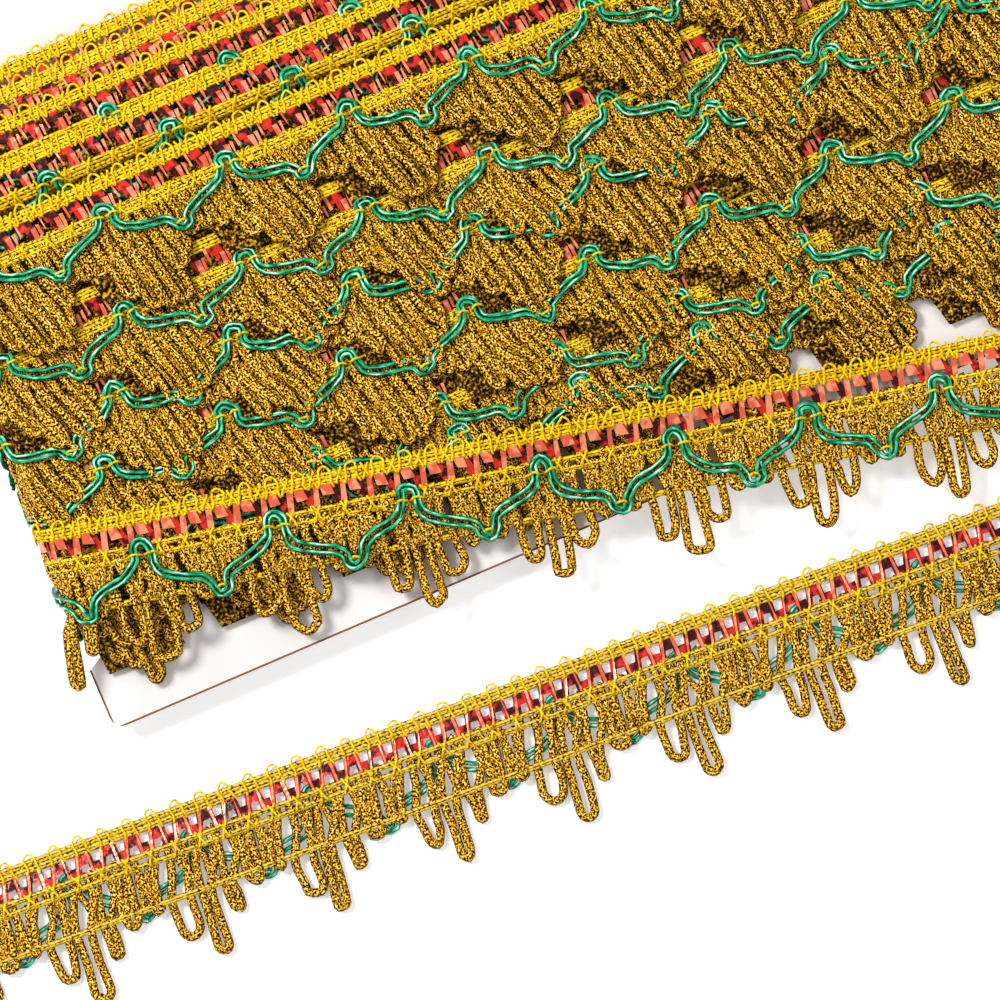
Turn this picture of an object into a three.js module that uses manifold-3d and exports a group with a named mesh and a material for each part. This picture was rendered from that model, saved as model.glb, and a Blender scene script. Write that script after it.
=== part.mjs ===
// Leaf lace trim wound on its card. Nine shingled turns make one wound form, a last turn crosses
// the front at an angle with its leaf loops past the card's edge, and past the card's corner it
// folds back and lies in front of the card, wrong side up, as the loose end.
// Millimetres, +Z up. The working frame starts at the card's lower left corner, X along the
// card's long side; the finished group is centred over its footprint.

import * as THREE from 'three';
import Module from 'manifold-3d';
import { mergeVertices } from 'three/addons/utils/BufferGeometryUtils.js';

const wasm = await Module();
wasm.setup();

// Free space between two pieces that touch.
const GAP = 0.3;

// The card that the trim is wound on. Its two sides are cut in between a lower and an upper tab.
const CARD = { length: 250, height: 165, thickness: 1.2, corner: 3, bottom: 5.4 };
const WAIST = { inset: 6, tab: 14, slant: 3.5 };
const CARD_MIDDLE = CARD.bottom + CARD.thickness / 2;
const CARD_TOP = CARD.bottom + CARD.thickness;

// The strips that make up the trim, each from one distance to another below the picot tips,
// and from one height to another above the trim's wrong side.
const STRIPS = {
  header: { from: 0.9, to: 4.6, low: 0, high: 1.4 },
  foil: { from: 4.9, to: 8.5, low: 0.2, high: 1.2 },
  band: { from: 8.8, to: 11.7, low: 0, high: 1.5 },
  lace: { from: 12, to: 21.4, low: 0, high: 1.6 },
  chain: { from: 19.8, to: 21.3, low: 2.1, high: 2.6 },
  greenCord: { from: 9.6, to: 18.5, low: 2.1, high: 2.8 },
};
const KNOT_LINE = 9.6;
const TRIM_MIDDLE = 1.0;
const PICOTS = 5;
const PICOT_DEPTH = 1.0;
const FOIL_WIDTH = 2.0;
const CORD_WIDTH = 2.2;

// The gold leaf loops of one repeat: place along the trim from the green knot, how far root and
// tip lie below the picot tips, half the loop's width, and half its open slot, if it has one.
const LEAVES = [
  { along: -11.6, root: 21.2, reach: 23.2, half: 1.5, slot: 0 },
  { along: -5.4, root: 21.7, reach: 30.6, half: 2.3, slot: 0.7 },
  { along: 0.2, root: 21.9, reach: 36.0, half: 2.7, slot: 1.1 },
  { along: 5.9, root: 21.6, reach: 28.6, half: 2.5, slot: 0 },
  { along: 11.4, root: 21.3, reach: 23.0, half: 1.5, slot: 0 },
];
// The lace's upper edge follows the second band in short steps with a slight wave.
const LACE_TOP_STEPS = 6;
const LACE_TOP_WAVE = 0.12;
// The open windows of one repeat of the gold mesh: place along the trim, half width, and how
// far top and foot lie below the picot tips.
const WINDOWS = [
  { along: -7.6, half: 2.5, top: 13.5, foot: 18.5 },
  { along: 7.6, half: 2.6, top: 13.8, foot: 18.3 },
];

// The last turn across the front: the place of its first green knot, its heading, its pitch, and
// the number of its last knot before the fold.
const LAST_TURN = { x: 22.3, y: 34.1, heading: -11.58, pitch: 29.55, lastKnot: 8, start: -0.9 };
// The bends of the trim, in repeats: up to the left one's end, and the fold's start and end.
const BENDS = { left: -0.5, foldFrom: 8, foldTo: 9.3 };
// Height of the last turn's wrong side over the wound turns, over the bare card and past it.
const LAST_LEVEL = { wound: 14.6, card: 8.9, edgeSag: 0.17, landFrom: 228, landTo: 258 };
// Where the trim leaves the card's bare margin and climbs on the wound turns.
const CLIMB = { from: 2, to: 28 };

// The fold past the card's corner: along the trim, the direction of the fold line, the radius of
// the trim's middle, and the pitch between the knots on its two sides.
const FOLD = { along: 250.8, direction: 99.2, radius: 2.6, pitch: 26.5 };
// The loose end: heading after the fold, straight lead, arc, and the knots after the first one.
const LOOSE = { heading: 210, lead: 22.6, bend: 86, turn: 33, pitch: 28.5, knots: 11 };
// Height of the loose end's wrong side, which is up, how far header and leaves settle below it,
// and the distances below the picot tips between which they do.
const LOOSE_LEVEL = { top: 2.8, headerDrop: 1.4, leafDrop: 1.2 };
const SETTLE = { headerFrom: 4.9, headerTo: 7.8, leafFrom: 21.3, leafTo: 25.3, pastFold: 14 };

// The wound turns: green knot line of each at the card's left and right, and the place of
// one knot. Turns 0 to 3 lie on the turn above them, turns 5 to 8 under the turn above them.
const TURNS = [
  { left: 135.0, right: 135.0, knot: 20.0 },
  { left: 130.5, right: 130.5, knot: 31.0 },
  { left: 124.0, right: 124.0, knot: 24.0 },
  { left: 115.5, right: 115.5, knot: 35.0 },
  { left: 104.0, right: 104.0, knot: 43.4 },
  { left: 83.0, right: 84.0, knot: 39.0 },
  { left: 67.0, right: 75.5, knot: 30.0 },
  { left: 54.0, right: 55.0, knot: 22.0 },
  { left: 36.0, right: 41.0, knot: 36.0 },
];
const TOP_TURN = 4;
const TURN_PITCH = 28.7;
// Height of the wound form over the card, from its lower rim to its upper one.
const CREST = [
  { y: 10, height: 1.8 },
  { y: 30, height: 4.0 },
  { y: 60, height: 5.4 },
  { y: 90, height: 6.4 },
  { y: 106, height: 7.4 },
  { y: 118, height: 6.0 },
  { y: 127, height: 4.4 },
  { y: 135, height: 3.0 },
  { y: 144, height: 1.6 },
];
const LEAF_HEAP = { height: 1.8, along: 13, across: 10, below: 12, lean: 3 };
const BAND_RIDGE = { height: 0.9, half: 4 };
const WOUND = { lower: 12, upper: 142, side: 4, scallop: 3, columns: 36, foldSteps: 4, backSteps: 6, rows: 32 };

const COLOURS = {
  card: { color: 0xf0e8e4, roughness: 0.85, metalness: 0 },
  header: { color: 0xf2c60a, roughness: 0.8, metalness: 0 },
  foil: { color: 0xb8281c, roughness: 0.3, metalness: 0.7 },
  band: { color: 0xe6b80c, roughness: 0.8, metalness: 0 },
  lace: { color: 0xa8770f, roughness: 0.55, metalness: 0.3 },
  chain: { color: 0xe0b00e, roughness: 0.8, metalness: 0 },
  greenCord: { color: 0x079158, roughness: 0.4, metalness: 0 },
};

const rad = THREE.MathUtils.degToRad;
const mix = THREE.MathUtils.lerp;
const ease = THREE.MathUtils.smoothstep;

// A unit vector in the plan at an angle in degrees.
function towards(degrees) {
  return new THREE.Vector2(Math.cos(rad(degrees)), Math.sin(rad(degrees)));
}

// Distance along the trim of a number of repeats, counted from the last turn's first knot.
function alongAt(repeats) {
  const foldStart = LAST_TURN.lastKnot * LAST_TURN.pitch;
  const past = repeats - LAST_TURN.lastKnot;
  if (past < 0) return repeats * LAST_TURN.pitch;
  if (past < 1) return foldStart + past * FOLD.pitch;
  return foldStart + FOLD.pitch + (past - 1) * LOOSE.pitch;
}

// The fold's point and the normal of its line, in the plan.
const foldPoint = towards(LAST_TURN.heading)
  .multiplyScalar(FOLD.along)
  .add(new THREE.Vector2(LAST_TURN.x, LAST_TURN.y));
const foldNormal = towards(FOLD.direction - 90);
const halfBend = (FOLD.radius * Math.PI) / 2;

// Plan point and heading of the loose end's knot line at a distance past the fold.
function looseLine(distance) {
  const arcLength = LOOSE.bend * rad(LOOSE.turn);
  const onLead = Math.min(distance, LOOSE.lead);
  const onArc = THREE.MathUtils.clamp(distance - LOOSE.lead, 0, arcLength);
  const onRun = Math.max(distance - LOOSE.lead - arcLength, 0);
  const heading = LOOSE.heading - THREE.MathUtils.radToDeg(onArc / LOOSE.bend);
  const centre = towards(LOOSE.heading + 90).multiplyScalar(-LOOSE.bend);
  const point = foldPoint
    .clone()
    .add(towards(LOOSE.heading).multiplyScalar(onLead))
    .add(centre)
    .add(towards(heading + 90).multiplyScalar(LOOSE.bend))
    .add(towards(heading).multiplyScalar(onRun));
  return { point, heading };
}

// Plan point of the flat, unfolded trim at a distance along it and a distance below its knots.
function flatPoint(along, below) {
  if (along <= FOLD.along) {
    const point = towards(LAST_TURN.heading).multiplyScalar(along);
    point.add(new THREE.Vector2(LAST_TURN.x, LAST_TURN.y));
    return point.add(towards(LAST_TURN.heading - 90).multiplyScalar(below));
  }
  const line = looseLine(along - FOLD.along);
  const laid = line.point.add(towards(line.heading + 90).multiplyScalar(below));
  return mirrorInFold(laid);
}

// The mirror image of a plan point in the fold line.
function mirrorInFold(point) {
  const depth = point.clone().sub(foldPoint).dot(foldNormal);
  return point.clone().addScaledVector(foldNormal, -2 * depth);
}

// Height of the last turn's wrong side at a plan point.
function lastTurnHeight(x, y) {
  const resting = mix(LAST_LEVEL.card, LAST_LEVEL.wound, ease(y, CLIMB.from, CLIMB.to));
  const sagging = resting + Math.min(y, 0) * LAST_LEVEL.edgeSag;
  const atFold = LOOSE_LEVEL.top + 2 * (FOLD.radius - TRIM_MIDDLE);
  return mix(sagging, atFold, ease(x, LAST_LEVEL.landFrom, LAST_LEVEL.landTo));
}

// A point of the laid trim: distance along it, distance below the picot tips, height above its
// wrong side. It climbs round the card's left edge, crosses the front, folds and lies reversed.
function laidPoint(along, below, height) {
  const flat = flatPoint(along, below - KNOT_LINE);
  if (flat.x < WAIST.inset) return roundLeftEdge(flat, height);
  const depth = flat.clone().sub(foldPoint).dot(foldNormal);
  if (depth < -halfBend) {
    return new THREE.Vector3(flat.x, flat.y, lastTurnHeight(flat.x, flat.y) + height);
  }
  if (depth < halfBend) return roundFold(flat, depth, height);
  const laid = mirrorInFold(flat);
  const header = 1 - ease(below, SETTLE.headerFrom, SETTLE.headerTo);
  const leaves = ease(below, SETTLE.leafFrom, SETTLE.leafTo);
  const drop = header * LOOSE_LEVEL.headerDrop + leaves * LOOSE_LEVEL.leafDrop;
  const settled = drop * ease(depth, halfBend, halfBend + SETTLE.pastFold);
  return new THREE.Vector3(laid.x, laid.y, LOOSE_LEVEL.top - height - settled);
}

// A point where the last turn bends round the left edge of the wound turns.
function roundLeftEdge(flat, height) {
  const angle = (WAIST.inset - flat.x) / ((WOUND.side + LAST_LEVEL.wound - CARD_MIDDLE) / 2);
  const rise = lastTurnHeight(WAIST.inset, flat.y) - CARD_MIDDLE + height;
  const reach = WOUND.side + 2 * GAP + height;
  const x = WAIST.inset - reach * Math.sin(angle);
  return new THREE.Vector3(x, flat.y, CARD_MIDDLE + rise * Math.cos(angle));
}

// A point in the half turn of the fold.
function roundFold(flat, depth, height) {
  const angle = (depth + halfBend) / FOLD.radius;
  const reach = FOLD.radius + height - TRIM_MIDDLE;
  const centre = LOOSE_LEVEL.top - TRIM_MIDDLE + FOLD.radius;
  const forward = -halfBend + reach * Math.sin(angle) - depth;
  const point = flat.clone().addScaledVector(foldNormal, forward);
  return new THREE.Vector3(point.x, point.y, centre + reach * Math.cos(angle));
}

// Moves every point of a geometry and drops its normals and texture coordinates.
function reshape(geometry, move) {
  const position = geometry.attributes.position;
  const point = new THREE.Vector3();
  for (let i = 0; i < position.count; i += 1) {
    point.copy(move(point.fromBufferAttribute(position, i).clone()));
    position.setXYZ(i, point.x, point.y, point.z);
  }
  geometry.deleteAttribute('normal');
  geometry.deleteAttribute('uv');
  return mergeVertices(geometry);
}

// Turns a box inside out where the move that placed it was a mirror image.
function flipFaces(geometry) {
  const index = geometry.index;
  for (let i = 0; i < index.count; i += 3) {
    const second = index.getX(i + 1);
    index.setX(i + 1, index.getX(i + 2));
    index.setX(i + 2, second);
  }
  return geometry;
}

function toSolid(geometry) {
  const vertProperties = new Float32Array(geometry.attributes.position.array);
  const triVerts = new Uint32Array(geometry.index.array);
  return new wasm.Manifold(new wasm.Mesh({ numProp: 3, vertProperties, triVerts }));
}

function toGeometry(solid) {
  const mesh = solid.getMesh();
  const geometry = new THREE.BufferGeometry();
  geometry.setAttribute('position', new THREE.BufferAttribute(mesh.vertProperties, 3));
  geometry.setIndex(new THREE.BufferAttribute(mesh.triVerts, 1));
  return geometry;
}

const group = new THREE.Group();

function addPiece(name, geometry, look) {
  const mesh = new THREE.Mesh(geometry, new THREE.MeshStandardMaterial(COLOURS[look]));
  mesh.name = name;
  group.add(mesh);
}

// Distance along the trim at which the fold line crosses it, at a distance below the picot tips.
function foldAlong(below) {
  const heading = towards(LAST_TURN.heading);
  const across = towards(LAST_TURN.heading - 90);
  const slant = -across.dot(foldNormal) / heading.dot(foldNormal);
  return FOLD.along + slant * (below - KNOT_LINE);
}

// The two stretches of the trim, which meet in the middle of the fold, as the first and last
// repeat that their steps fall on, and the ends themselves.
const STRETCHES = [
  {
    name: 'last_turn',
    first: LAST_TURN.start,
    last: 8.3,
    startAt: () => alongAt(LAST_TURN.start),
    endAt: (below) => foldAlong(below) - GAP / 2,
  },
  {
    name: 'loose_end',
    first: 8.8,
    last: LAST_TURN.lastKnot + 1 + LOOSE.knots + 0.3,
    startAt: (below) => foldAlong(below) + GAP / 2,
    endAt: () => alongAt(LAST_TURN.lastKnot + 1 + LOOSE.knots + 0.4),
  },
];

// The places, in repeats, of the cross steps of a strip, four times as close in the bends.
function stations(stretch, perRepeat) {
  const count = Math.round((stretch.last - stretch.first) * perRepeat);
  const places = [];
  for (let step = 0; step <= count; step += 1) {
    const repeats = stretch.first + step / perRepeat;
    const inBend = repeats < BENDS.left || (repeats > BENDS.foldFrom && repeats < BENDS.foldTo);
    places.push(repeats);
    for (let part = 1; part < 4 && inBend && step < count; part += 1) {
      places.push(repeats + part / 4 / perRepeat);
    }
  }
  return places;
}

// A flat strip of the trim along one stretch, with its two edges given for each repeat.
function laidStrip(stretch, perRepeat, edgesAt, low, high) {
  const places = stations(stretch, perRepeat);
  const steps = places.length + 1;
  const box = new THREE.BoxGeometry(steps, 1, 1, steps, 1, 1);
  return flipFaces(reshape(box, (corner) => {
    const step = Math.round(corner.x + steps / 2);
    const repeats = places[THREE.MathUtils.clamp(step - 1, 0, places.length - 1)];
    const [upper, lower] = edgesAt(repeats);
    const below = corner.y > 0 ? lower : upper;
    let along = alongAt(repeats);
    if (step === 0) along = stretch.startAt(below);
    if (step === steps) along = stretch.endAt(below);
    return laidPoint(along, below, corner.z > 0 ? high : low);
  }));
}

// Header braid: plain lower edge, picots along the upper one.
function header(stretch) {
  const { from, to, low, high } = STRIPS.header;
  const edges = (repeats) => {
    const up = Math.round(repeats * 2 * PICOTS) % 2 === 0;
    return [up ? from - PICOT_DEPTH + 0.1 : from, to];
  };
  return laidStrip(stretch, 2 * PICOTS, edges, low, high);
}

// Foil ribbon: a zigzag between the header and the second band.
function foil(stretch) {
  const { from, to, low, high } = STRIPS.foil;
  const edges = (repeats) => {
    const up = Math.round(repeats * 2 * PICOTS) % 2 === 0;
    return up ? [from, from + FOIL_WIDTH] : [to - FOIL_WIDTH, to];
  };
  return laidStrip(stretch, 2 * PICOTS, edges, low, high);
}

function plainStrip(stretch, strip) {
  return laidStrip(stretch, 5, () => [strip.from, strip.to], strip.low, strip.high);
}

// The part of a stretch that lies flat, clear of the left bend and of the fold.
function flatPart(stretch) {
  const onFront = stretch.name === 'last_turn';
  const [first, last] = onFront ? [-0.4, 8.3] : [8.9, stretch.last];
  return { ...stretch, first, last, startAt: () => alongAt(first - 0.05), endAt: () => alongAt(last + 0.05) };
}

// Green cord: it rises to an arch at each knot and sinks to a point between two knots.
function greenCordDepth(repeats) {
  const fromKnot = Math.abs(repeats - Math.round(repeats)) * 2;
  const { from, to } = STRIPS.greenCord;
  return mix(from, to, Math.pow(fromKnot, 1.25));
}

function greenCord(stretch) {
  const { low, high } = STRIPS.greenCord;
  const edges = (repeats) => {
    const nudge = 0.02;
    const rise = greenCordDepth(repeats + nudge) - greenCordDepth(repeats - nudge);
    const slope = rise / (alongAt(repeats + nudge) - alongAt(repeats - nudge));
    const half = (CORD_WIDTH / 2) * Math.sqrt(1 + slope * slope);
    const middle = greenCordDepth(repeats);
    return [middle - half, middle + half];
  };
  return laidStrip(flatPart(stretch), 10, edges, low, high);
}

// One repeat of the gold lace as a flat outline, between two distances from its knot: the
// mesh with its windows above, the leaf loops with their slots below.
function laceOutline(from, to) {
  const { from: top, to: foot } = STRIPS.lace;
  const outline = new THREE.Shape();
  outline.moveTo(from, top);
  outline.lineTo(from, foot);
  for (const leaf of LEAVES) {
    if (leaf.along - leaf.half < from || leaf.along + leaf.half > to) continue;
    const shoulder = leaf.reach - leaf.half;
    outline.lineTo(leaf.along - leaf.half, leaf.root);
    outline.lineTo(leaf.along - leaf.half, shoulder);
    outline.lineTo(leaf.along - leaf.half / 2, leaf.reach - leaf.half / 6);
    outline.lineTo(leaf.along + leaf.half / 2, leaf.reach - leaf.half / 6);
    outline.lineTo(leaf.along + leaf.half, shoulder);
    outline.lineTo(leaf.along + leaf.half, leaf.root);
    if (leaf.slot > 0) {
      const slot = new THREE.Path();
      slot.moveTo(leaf.along - leaf.slot / 2, leaf.root + 2);
      slot.lineTo(leaf.along + leaf.slot / 2, leaf.root + 2);
      slot.lineTo(leaf.along + leaf.slot, shoulder);
      slot.lineTo(leaf.along - leaf.slot, shoulder);
      outline.holes.push(slot);
    }
  }
  outline.lineTo(to, foot);
  outline.lineTo(to, top);
  for (let step = LACE_TOP_STEPS - 1; step > 0; step -= 1) {
    outline.lineTo(mix(from, to, step / LACE_TOP_STEPS), top + LACE_TOP_WAVE * (step % 2));
  }
  for (const opening of WINDOWS) {
    if (opening.along - opening.half < from || opening.along + opening.half > to) continue;
    const pane = new THREE.Path();
    pane.moveTo(opening.along, opening.top);
    pane.lineTo(opening.along + opening.half, opening.foot);
    pane.lineTo(opening.along - opening.half, opening.foot);
    outline.holes.push(pane);
  }
  return outline;
}

// One repeat round a knot, from one distance along the trim to another. Neighbours share the
// corners of their ends.
function laceRepeat(knot, startAlong, endAlong) {
  const depth = STRIPS.lace.high - STRIPS.lace.low;
  const middle = alongAt(knot);
  const outline = laceOutline(startAlong - middle, endAlong - middle);
  const flat = new THREE.ExtrudeGeometry(outline, { depth, bevelEnabled: false });
  const place = (corner) => {
    let along = middle + corner.x;
    if (Math.abs(along - startAlong) < 0.01) along = startAlong;
    if (Math.abs(along - endAlong) < 0.01) along = endAlong;
    return laidPoint(along, corner.y, STRIPS.lace.low + corner.z);
  };
  return flipFaces(reshape(flat, place));
}

// Plain gold mesh between two places along the trim, for the stretches next to the bends. Its
// corners are rounded as stored ones are, so that they meet those of the next repeat.
function plainLace(startAt, endAt, steps) {
  const { from, to, low, high } = STRIPS.lace;
  const box = new THREE.BoxGeometry(steps, 1, 1, steps, 1, 1);
  return flipFaces(reshape(box, (corner) => {
    const share = Math.round(corner.x + steps / 2) / steps;
    const below = Math.fround(corner.y > 0 ? to : from);
    const along = mix(startAt(below), endAt(below), share);
    return laidPoint(along, below, Math.fround(corner.z > 0 ? high : low));
  }));
}

// Gold lace of a stretch: its repeats from valley to valley, and the plain mesh at the fold.
function lace(stretch) {
  const pieces = [];
  const onFront = stretch.name === 'last_turn';
  const firstKnot = onFront ? 0 : LAST_TURN.lastKnot + 2;
  const lastKnot = onFront ? LAST_TURN.lastKnot : LAST_TURN.lastKnot + 1 + LOOSE.knots;
  const firstAt = firstKnot - 0.5;
  const lastAt = onFront ? lastKnot + 0.36 : lastKnot + 0.4;
  for (let knot = firstKnot; knot <= lastKnot; knot += 1) {
    const end = knot === lastKnot ? lastAt : knot + 0.5;
    pieces.push(laceRepeat(knot, alongAt(knot - 0.5), alongAt(end)));
  }
  if (onFront) {
    pieces.push(plainLace(stretch.startAt, () => alongAt(firstAt), 6));
    pieces.push(plainLace(() => alongAt(lastAt), stretch.endAt, 10));
  } else {
    pieces.push(plainLace(stretch.startAt, () => alongAt(firstAt), 24));
  }
  const solids = pieces.map(toSolid);
  return toGeometry(solids.reduce((whole, piece) => whole.add(piece)));
}

// Knot line of a wound turn at a distance along the card.
function knotLineAt(turn, x) {
  return mix(turn.left, turn.right, x / CARD.length);
}

function crestAt(y) {
  const clamped = THREE.MathUtils.clamp(y, CREST[0].y, CREST[CREST.length - 1].y);
  const upper = Math.max(1, CREST.findIndex((entry) => entry.y >= clamped));
  const [a, b] = [CREST[upper - 1], CREST[upper]];
  return mix(a.height, b.height, (clamped - a.y) / (b.y - a.y));
}

// Height of the wound form above the card: the crest, the leaf heaps of the lower turns and
// the ridges of the bands of the upper ones. It is smooth near the two folded sides.
function woundHeight(x, y) {
  let relief = 0;
  TURNS.forEach((turn, number) => {
    const line = knotLineAt(turn, x);
    if (number < TOP_TURN) {
      relief = Math.max(relief, BAND_RIDGE.height * (1 - Math.abs(y - line - 2) / BAND_RIDGE.half));
      return;
    }
    const nearest = Math.round((x - LEAF_HEAP.lean - turn.knot) / TURN_PITCH) * TURN_PITCH;
    const across = (x - LEAF_HEAP.lean - turn.knot - nearest) / LEAF_HEAP.along;
    const down = (y - line + LEAF_HEAP.below) / LEAF_HEAP.across;
    relief = Math.max(relief, LEAF_HEAP.height * (1 - across * across - down * down));
  });
  const fromSide = Math.min(x, CARD.length - x) - WAIST.inset;
  const side = ease(fromSide, 0, 10);
  return crestAt(y) + relief * side;
}

// The wound form: a closed sleeve of oval section, flat below, cut through for the card.
function woundTrim() {
  const { columns, foldSteps, backSteps, rows } = WOUND;
  const round = columns + 2 * foldSteps + backSteps;
  const tube = new THREE.CylinderGeometry(1, 1, 1, round, rows, false);
  const outer = reshape(tube, (corner) => {
    const turned = Math.atan2(corner.x, corner.z) / (2 * Math.PI);
    const place = Math.round(((turned + 1) % 1) * round) % round;
    const onAxis = Math.hypot(corner.x, corner.z) < 0.5;
    return sleevePoint(place, corner.y + 0.5, onAxis);
  });
  const solid = toSolid(outer);
  const slot = cardSheet(GAP);
  slot.deleteAttribute('normal');
  slot.deleteAttribute('uv');
  return toGeometry(solid.subtract(toSolid(mergeVertices(slot))));
}

// A point of the sleeve: its step round the section, its share of the height, and whether it
// is the middle of an end.
function sleevePoint(place, share, onAxis) {
  const { columns, foldSteps, backSteps, lower, upper, side, scallop } = WOUND;
  const left = WAIST.inset;
  const right = CARD.length - WAIST.inset;
  const rim = (x) => lower + scallop * (1 - Math.cos((2 * Math.PI * (x - 50)) / TURN_PITCH)) / 2;
  if (onAxis) return new THREE.Vector3(CARD.length / 2, mix(lower, upper, share), CARD_MIDDLE);
  const frontEnd = columns;
  const rightEnd = frontEnd + foldSteps;
  const backEnd = rightEnd + backSteps;
  if (place <= frontEnd) {
    const x = mix(left, right, place / columns);
    const y = mix(rim(x), upper, share);
    return new THREE.Vector3(x, y, CARD_TOP + GAP + woundHeight(x, y));
  }
  if (place >= rightEnd && place <= backEnd) {
    const x = mix(right, left, (place - rightEnd) / backSteps);
    return new THREE.Vector3(x, mix(rim(x), upper, share), 0);
  }
  const onRight = place < rightEnd;
  const start = onRight ? frontEnd : backEnd;
  const angle = (Math.PI * (place - start)) / foldSteps;
  const edge = onRight ? right : left;
  const y = mix(rim(edge), upper, share);
  const front = CARD_TOP + GAP + woundHeight(edge, y) - CARD_MIDDLE;
  const high = onRight ? front : CARD_MIDDLE;
  const low = onRight ? CARD_MIDDLE : front;
  const lift = Math.cos(angle) > 0 ? high * Math.cos(angle) : low * Math.cos(angle);
  const out = side * Math.sin(angle);
  const sign = onRight ? 1 : -1;
  return new THREE.Vector3(edge + sign * out, y, CARD_MIDDLE + sign * lift);
}

// The card's sheet, grown by a clearance on all sides for the slot that it lies in. Rounded
// outer corners, and on each side a waist between the two tabs.
function cardSheet(clearance) {
  const { length, height, corner, thickness, bottom } = CARD;
  const [left, right] = [-clearance, length + clearance];
  const [foot, head] = [-clearance, height + clearance];
  const inset = WAIST.inset;
  const tabEnd = WAIST.tab + clearance;
  const waistEnd = tabEnd + WAIST.slant;
  const outline = new THREE.Shape();
  outline.moveTo(left + corner, foot);
  outline.lineTo(right - corner, foot);
  outline.quadraticCurveTo(right, foot, right, foot + corner);
  outline.lineTo(right, tabEnd);
  outline.lineTo(right - inset, waistEnd);
  outline.lineTo(right - inset, height - waistEnd);
  outline.lineTo(right, height - tabEnd);
  outline.lineTo(right, head - corner);
  outline.quadraticCurveTo(right, head, right - corner, head);
  outline.lineTo(left + corner, head);
  outline.quadraticCurveTo(left, head, left, head - corner);
  outline.lineTo(left, height - tabEnd);
  outline.lineTo(left + inset, height - waistEnd);
  outline.lineTo(left + inset, waistEnd);
  outline.lineTo(left, tabEnd);
  outline.lineTo(left, foot + corner);
  outline.quadraticCurveTo(left, foot, left + corner, foot);
  const depth = thickness + 2 * clearance;
  const geometry = new THREE.ExtrudeGeometry(outline, { depth, bevelEnabled: false, curveSegments: 4 });
  geometry.translate(0, 0, bottom - clearance);
  return geometry;
}

addPiece('card', cardSheet(0), 'card');
addPiece('wound_trim', woundTrim(), 'lace');
for (const stretch of STRETCHES) {
  addPiece(`${stretch.name}_header`, header(stretch), 'header');
  addPiece(`${stretch.name}_foil`, foil(stretch), 'foil');
  addPiece(`${stretch.name}_band`, plainStrip(stretch, STRIPS.band), 'band');
  addPiece(`${stretch.name}_lace`, lace(stretch), 'lace');
  addPiece(`${stretch.name}_chain`, plainStrip(flatPart(stretch), STRIPS.chain), 'chain');
  addPiece(`${stretch.name}_green_cord`, greenCord(stretch), 'greenCord');
}

// The origin is under the middle of the whole, on the surface it lies on.
const bounds = new THREE.Box3().setFromObject(group);
const middle = bounds.getCenter(new THREE.Vector3());
group.position.set(-middle.x, -middle.y, -bounds.min.z);

export default group;
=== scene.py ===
"""Leaf lace trim wound on its card, with the last turn across the front and the loose end before
it, wrong side up. The trim is worked out once, as yarns and cords in trim coordinates
(distance along it, distance below the picot tips, height above its wrong side), and then laid
along each turn. Lengths are millimetres from the card's lower left corner until they are stored."""

import bpy
import numpy as np
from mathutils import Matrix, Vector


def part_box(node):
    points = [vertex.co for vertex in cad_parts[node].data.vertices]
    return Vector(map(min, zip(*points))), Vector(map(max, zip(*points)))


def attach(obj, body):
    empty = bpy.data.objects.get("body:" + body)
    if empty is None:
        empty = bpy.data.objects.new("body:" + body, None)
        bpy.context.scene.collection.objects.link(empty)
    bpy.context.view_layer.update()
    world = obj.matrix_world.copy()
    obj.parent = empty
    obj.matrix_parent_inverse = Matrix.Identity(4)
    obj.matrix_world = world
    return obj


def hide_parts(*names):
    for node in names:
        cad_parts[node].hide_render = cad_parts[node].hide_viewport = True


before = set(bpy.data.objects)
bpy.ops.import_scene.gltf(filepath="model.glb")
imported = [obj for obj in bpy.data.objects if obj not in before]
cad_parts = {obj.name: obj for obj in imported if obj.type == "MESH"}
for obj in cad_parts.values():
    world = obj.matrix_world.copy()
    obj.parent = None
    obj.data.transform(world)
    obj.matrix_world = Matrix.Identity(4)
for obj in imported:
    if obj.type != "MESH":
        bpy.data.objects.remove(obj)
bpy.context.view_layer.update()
CARD_LOW, CARD_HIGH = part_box("card")
MM = 0.001
SEED = 11
random = np.random.default_rng(SEED)

# The card, as the frame gives it, and the run of the winding round it, as in the solids.
CARD_LENGTH = (CARD_HIGH[0] - CARD_LOW[0]) / MM
CARD_BOTTOM = CARD_LOW[2] / MM
CARD_TOP = CARD_HIGH[2] / MM
CARD_MIDDLE = (CARD_BOTTOM + CARD_TOP) / 2
CARD_RIM = 0.45
CARD_BROWN = (0.20, 0.075, 0.02)
WAIST = 6.0
FRONT_RUN = CARD_LENGTH - 2 * WAIST
SIDE_OUT = 3.4
SIDE_RUN = 20.0
AROUND = 2 * FRONT_RUN + 1.5 * SIDE_RUN
BACK_LEVEL = 3.2

# The trim: picots to a repeat, its depth and the filled share of it, the knot line below the
# picot tips, its middle's height over the wrong side, and its cords.
PICOTS = 5
KNOT_LINE = 9.6
TRIM_MIDDLE = 1.0
CORD_RADIUS, MESH_RADIUS, CORD_SQUASH = 1.04, 0.84, 0.8
YARN_RADIUS = 0.27
STRAND_RADIUS = 0.5
STRAND_APART, STRAND_PARTS = 0.52, 0.5
FOIL_THICK = 0.25

# Heights over the wrong side: yarns, green cord and ties on the face, on the wrong side, in the
# rows and on the back.
YARNS_FACE, YARNS_REVERSE = 1.35, -0.05
GREEN_FACE, GREEN_REVERSE, GREEN_ROW, GREEN_BACK = 2.35, 1.95, 2.3, 2.2
TIES_FACE, TIES_REVERSE, TIES_ROW = 2.5, 1.6, 2.45

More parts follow.
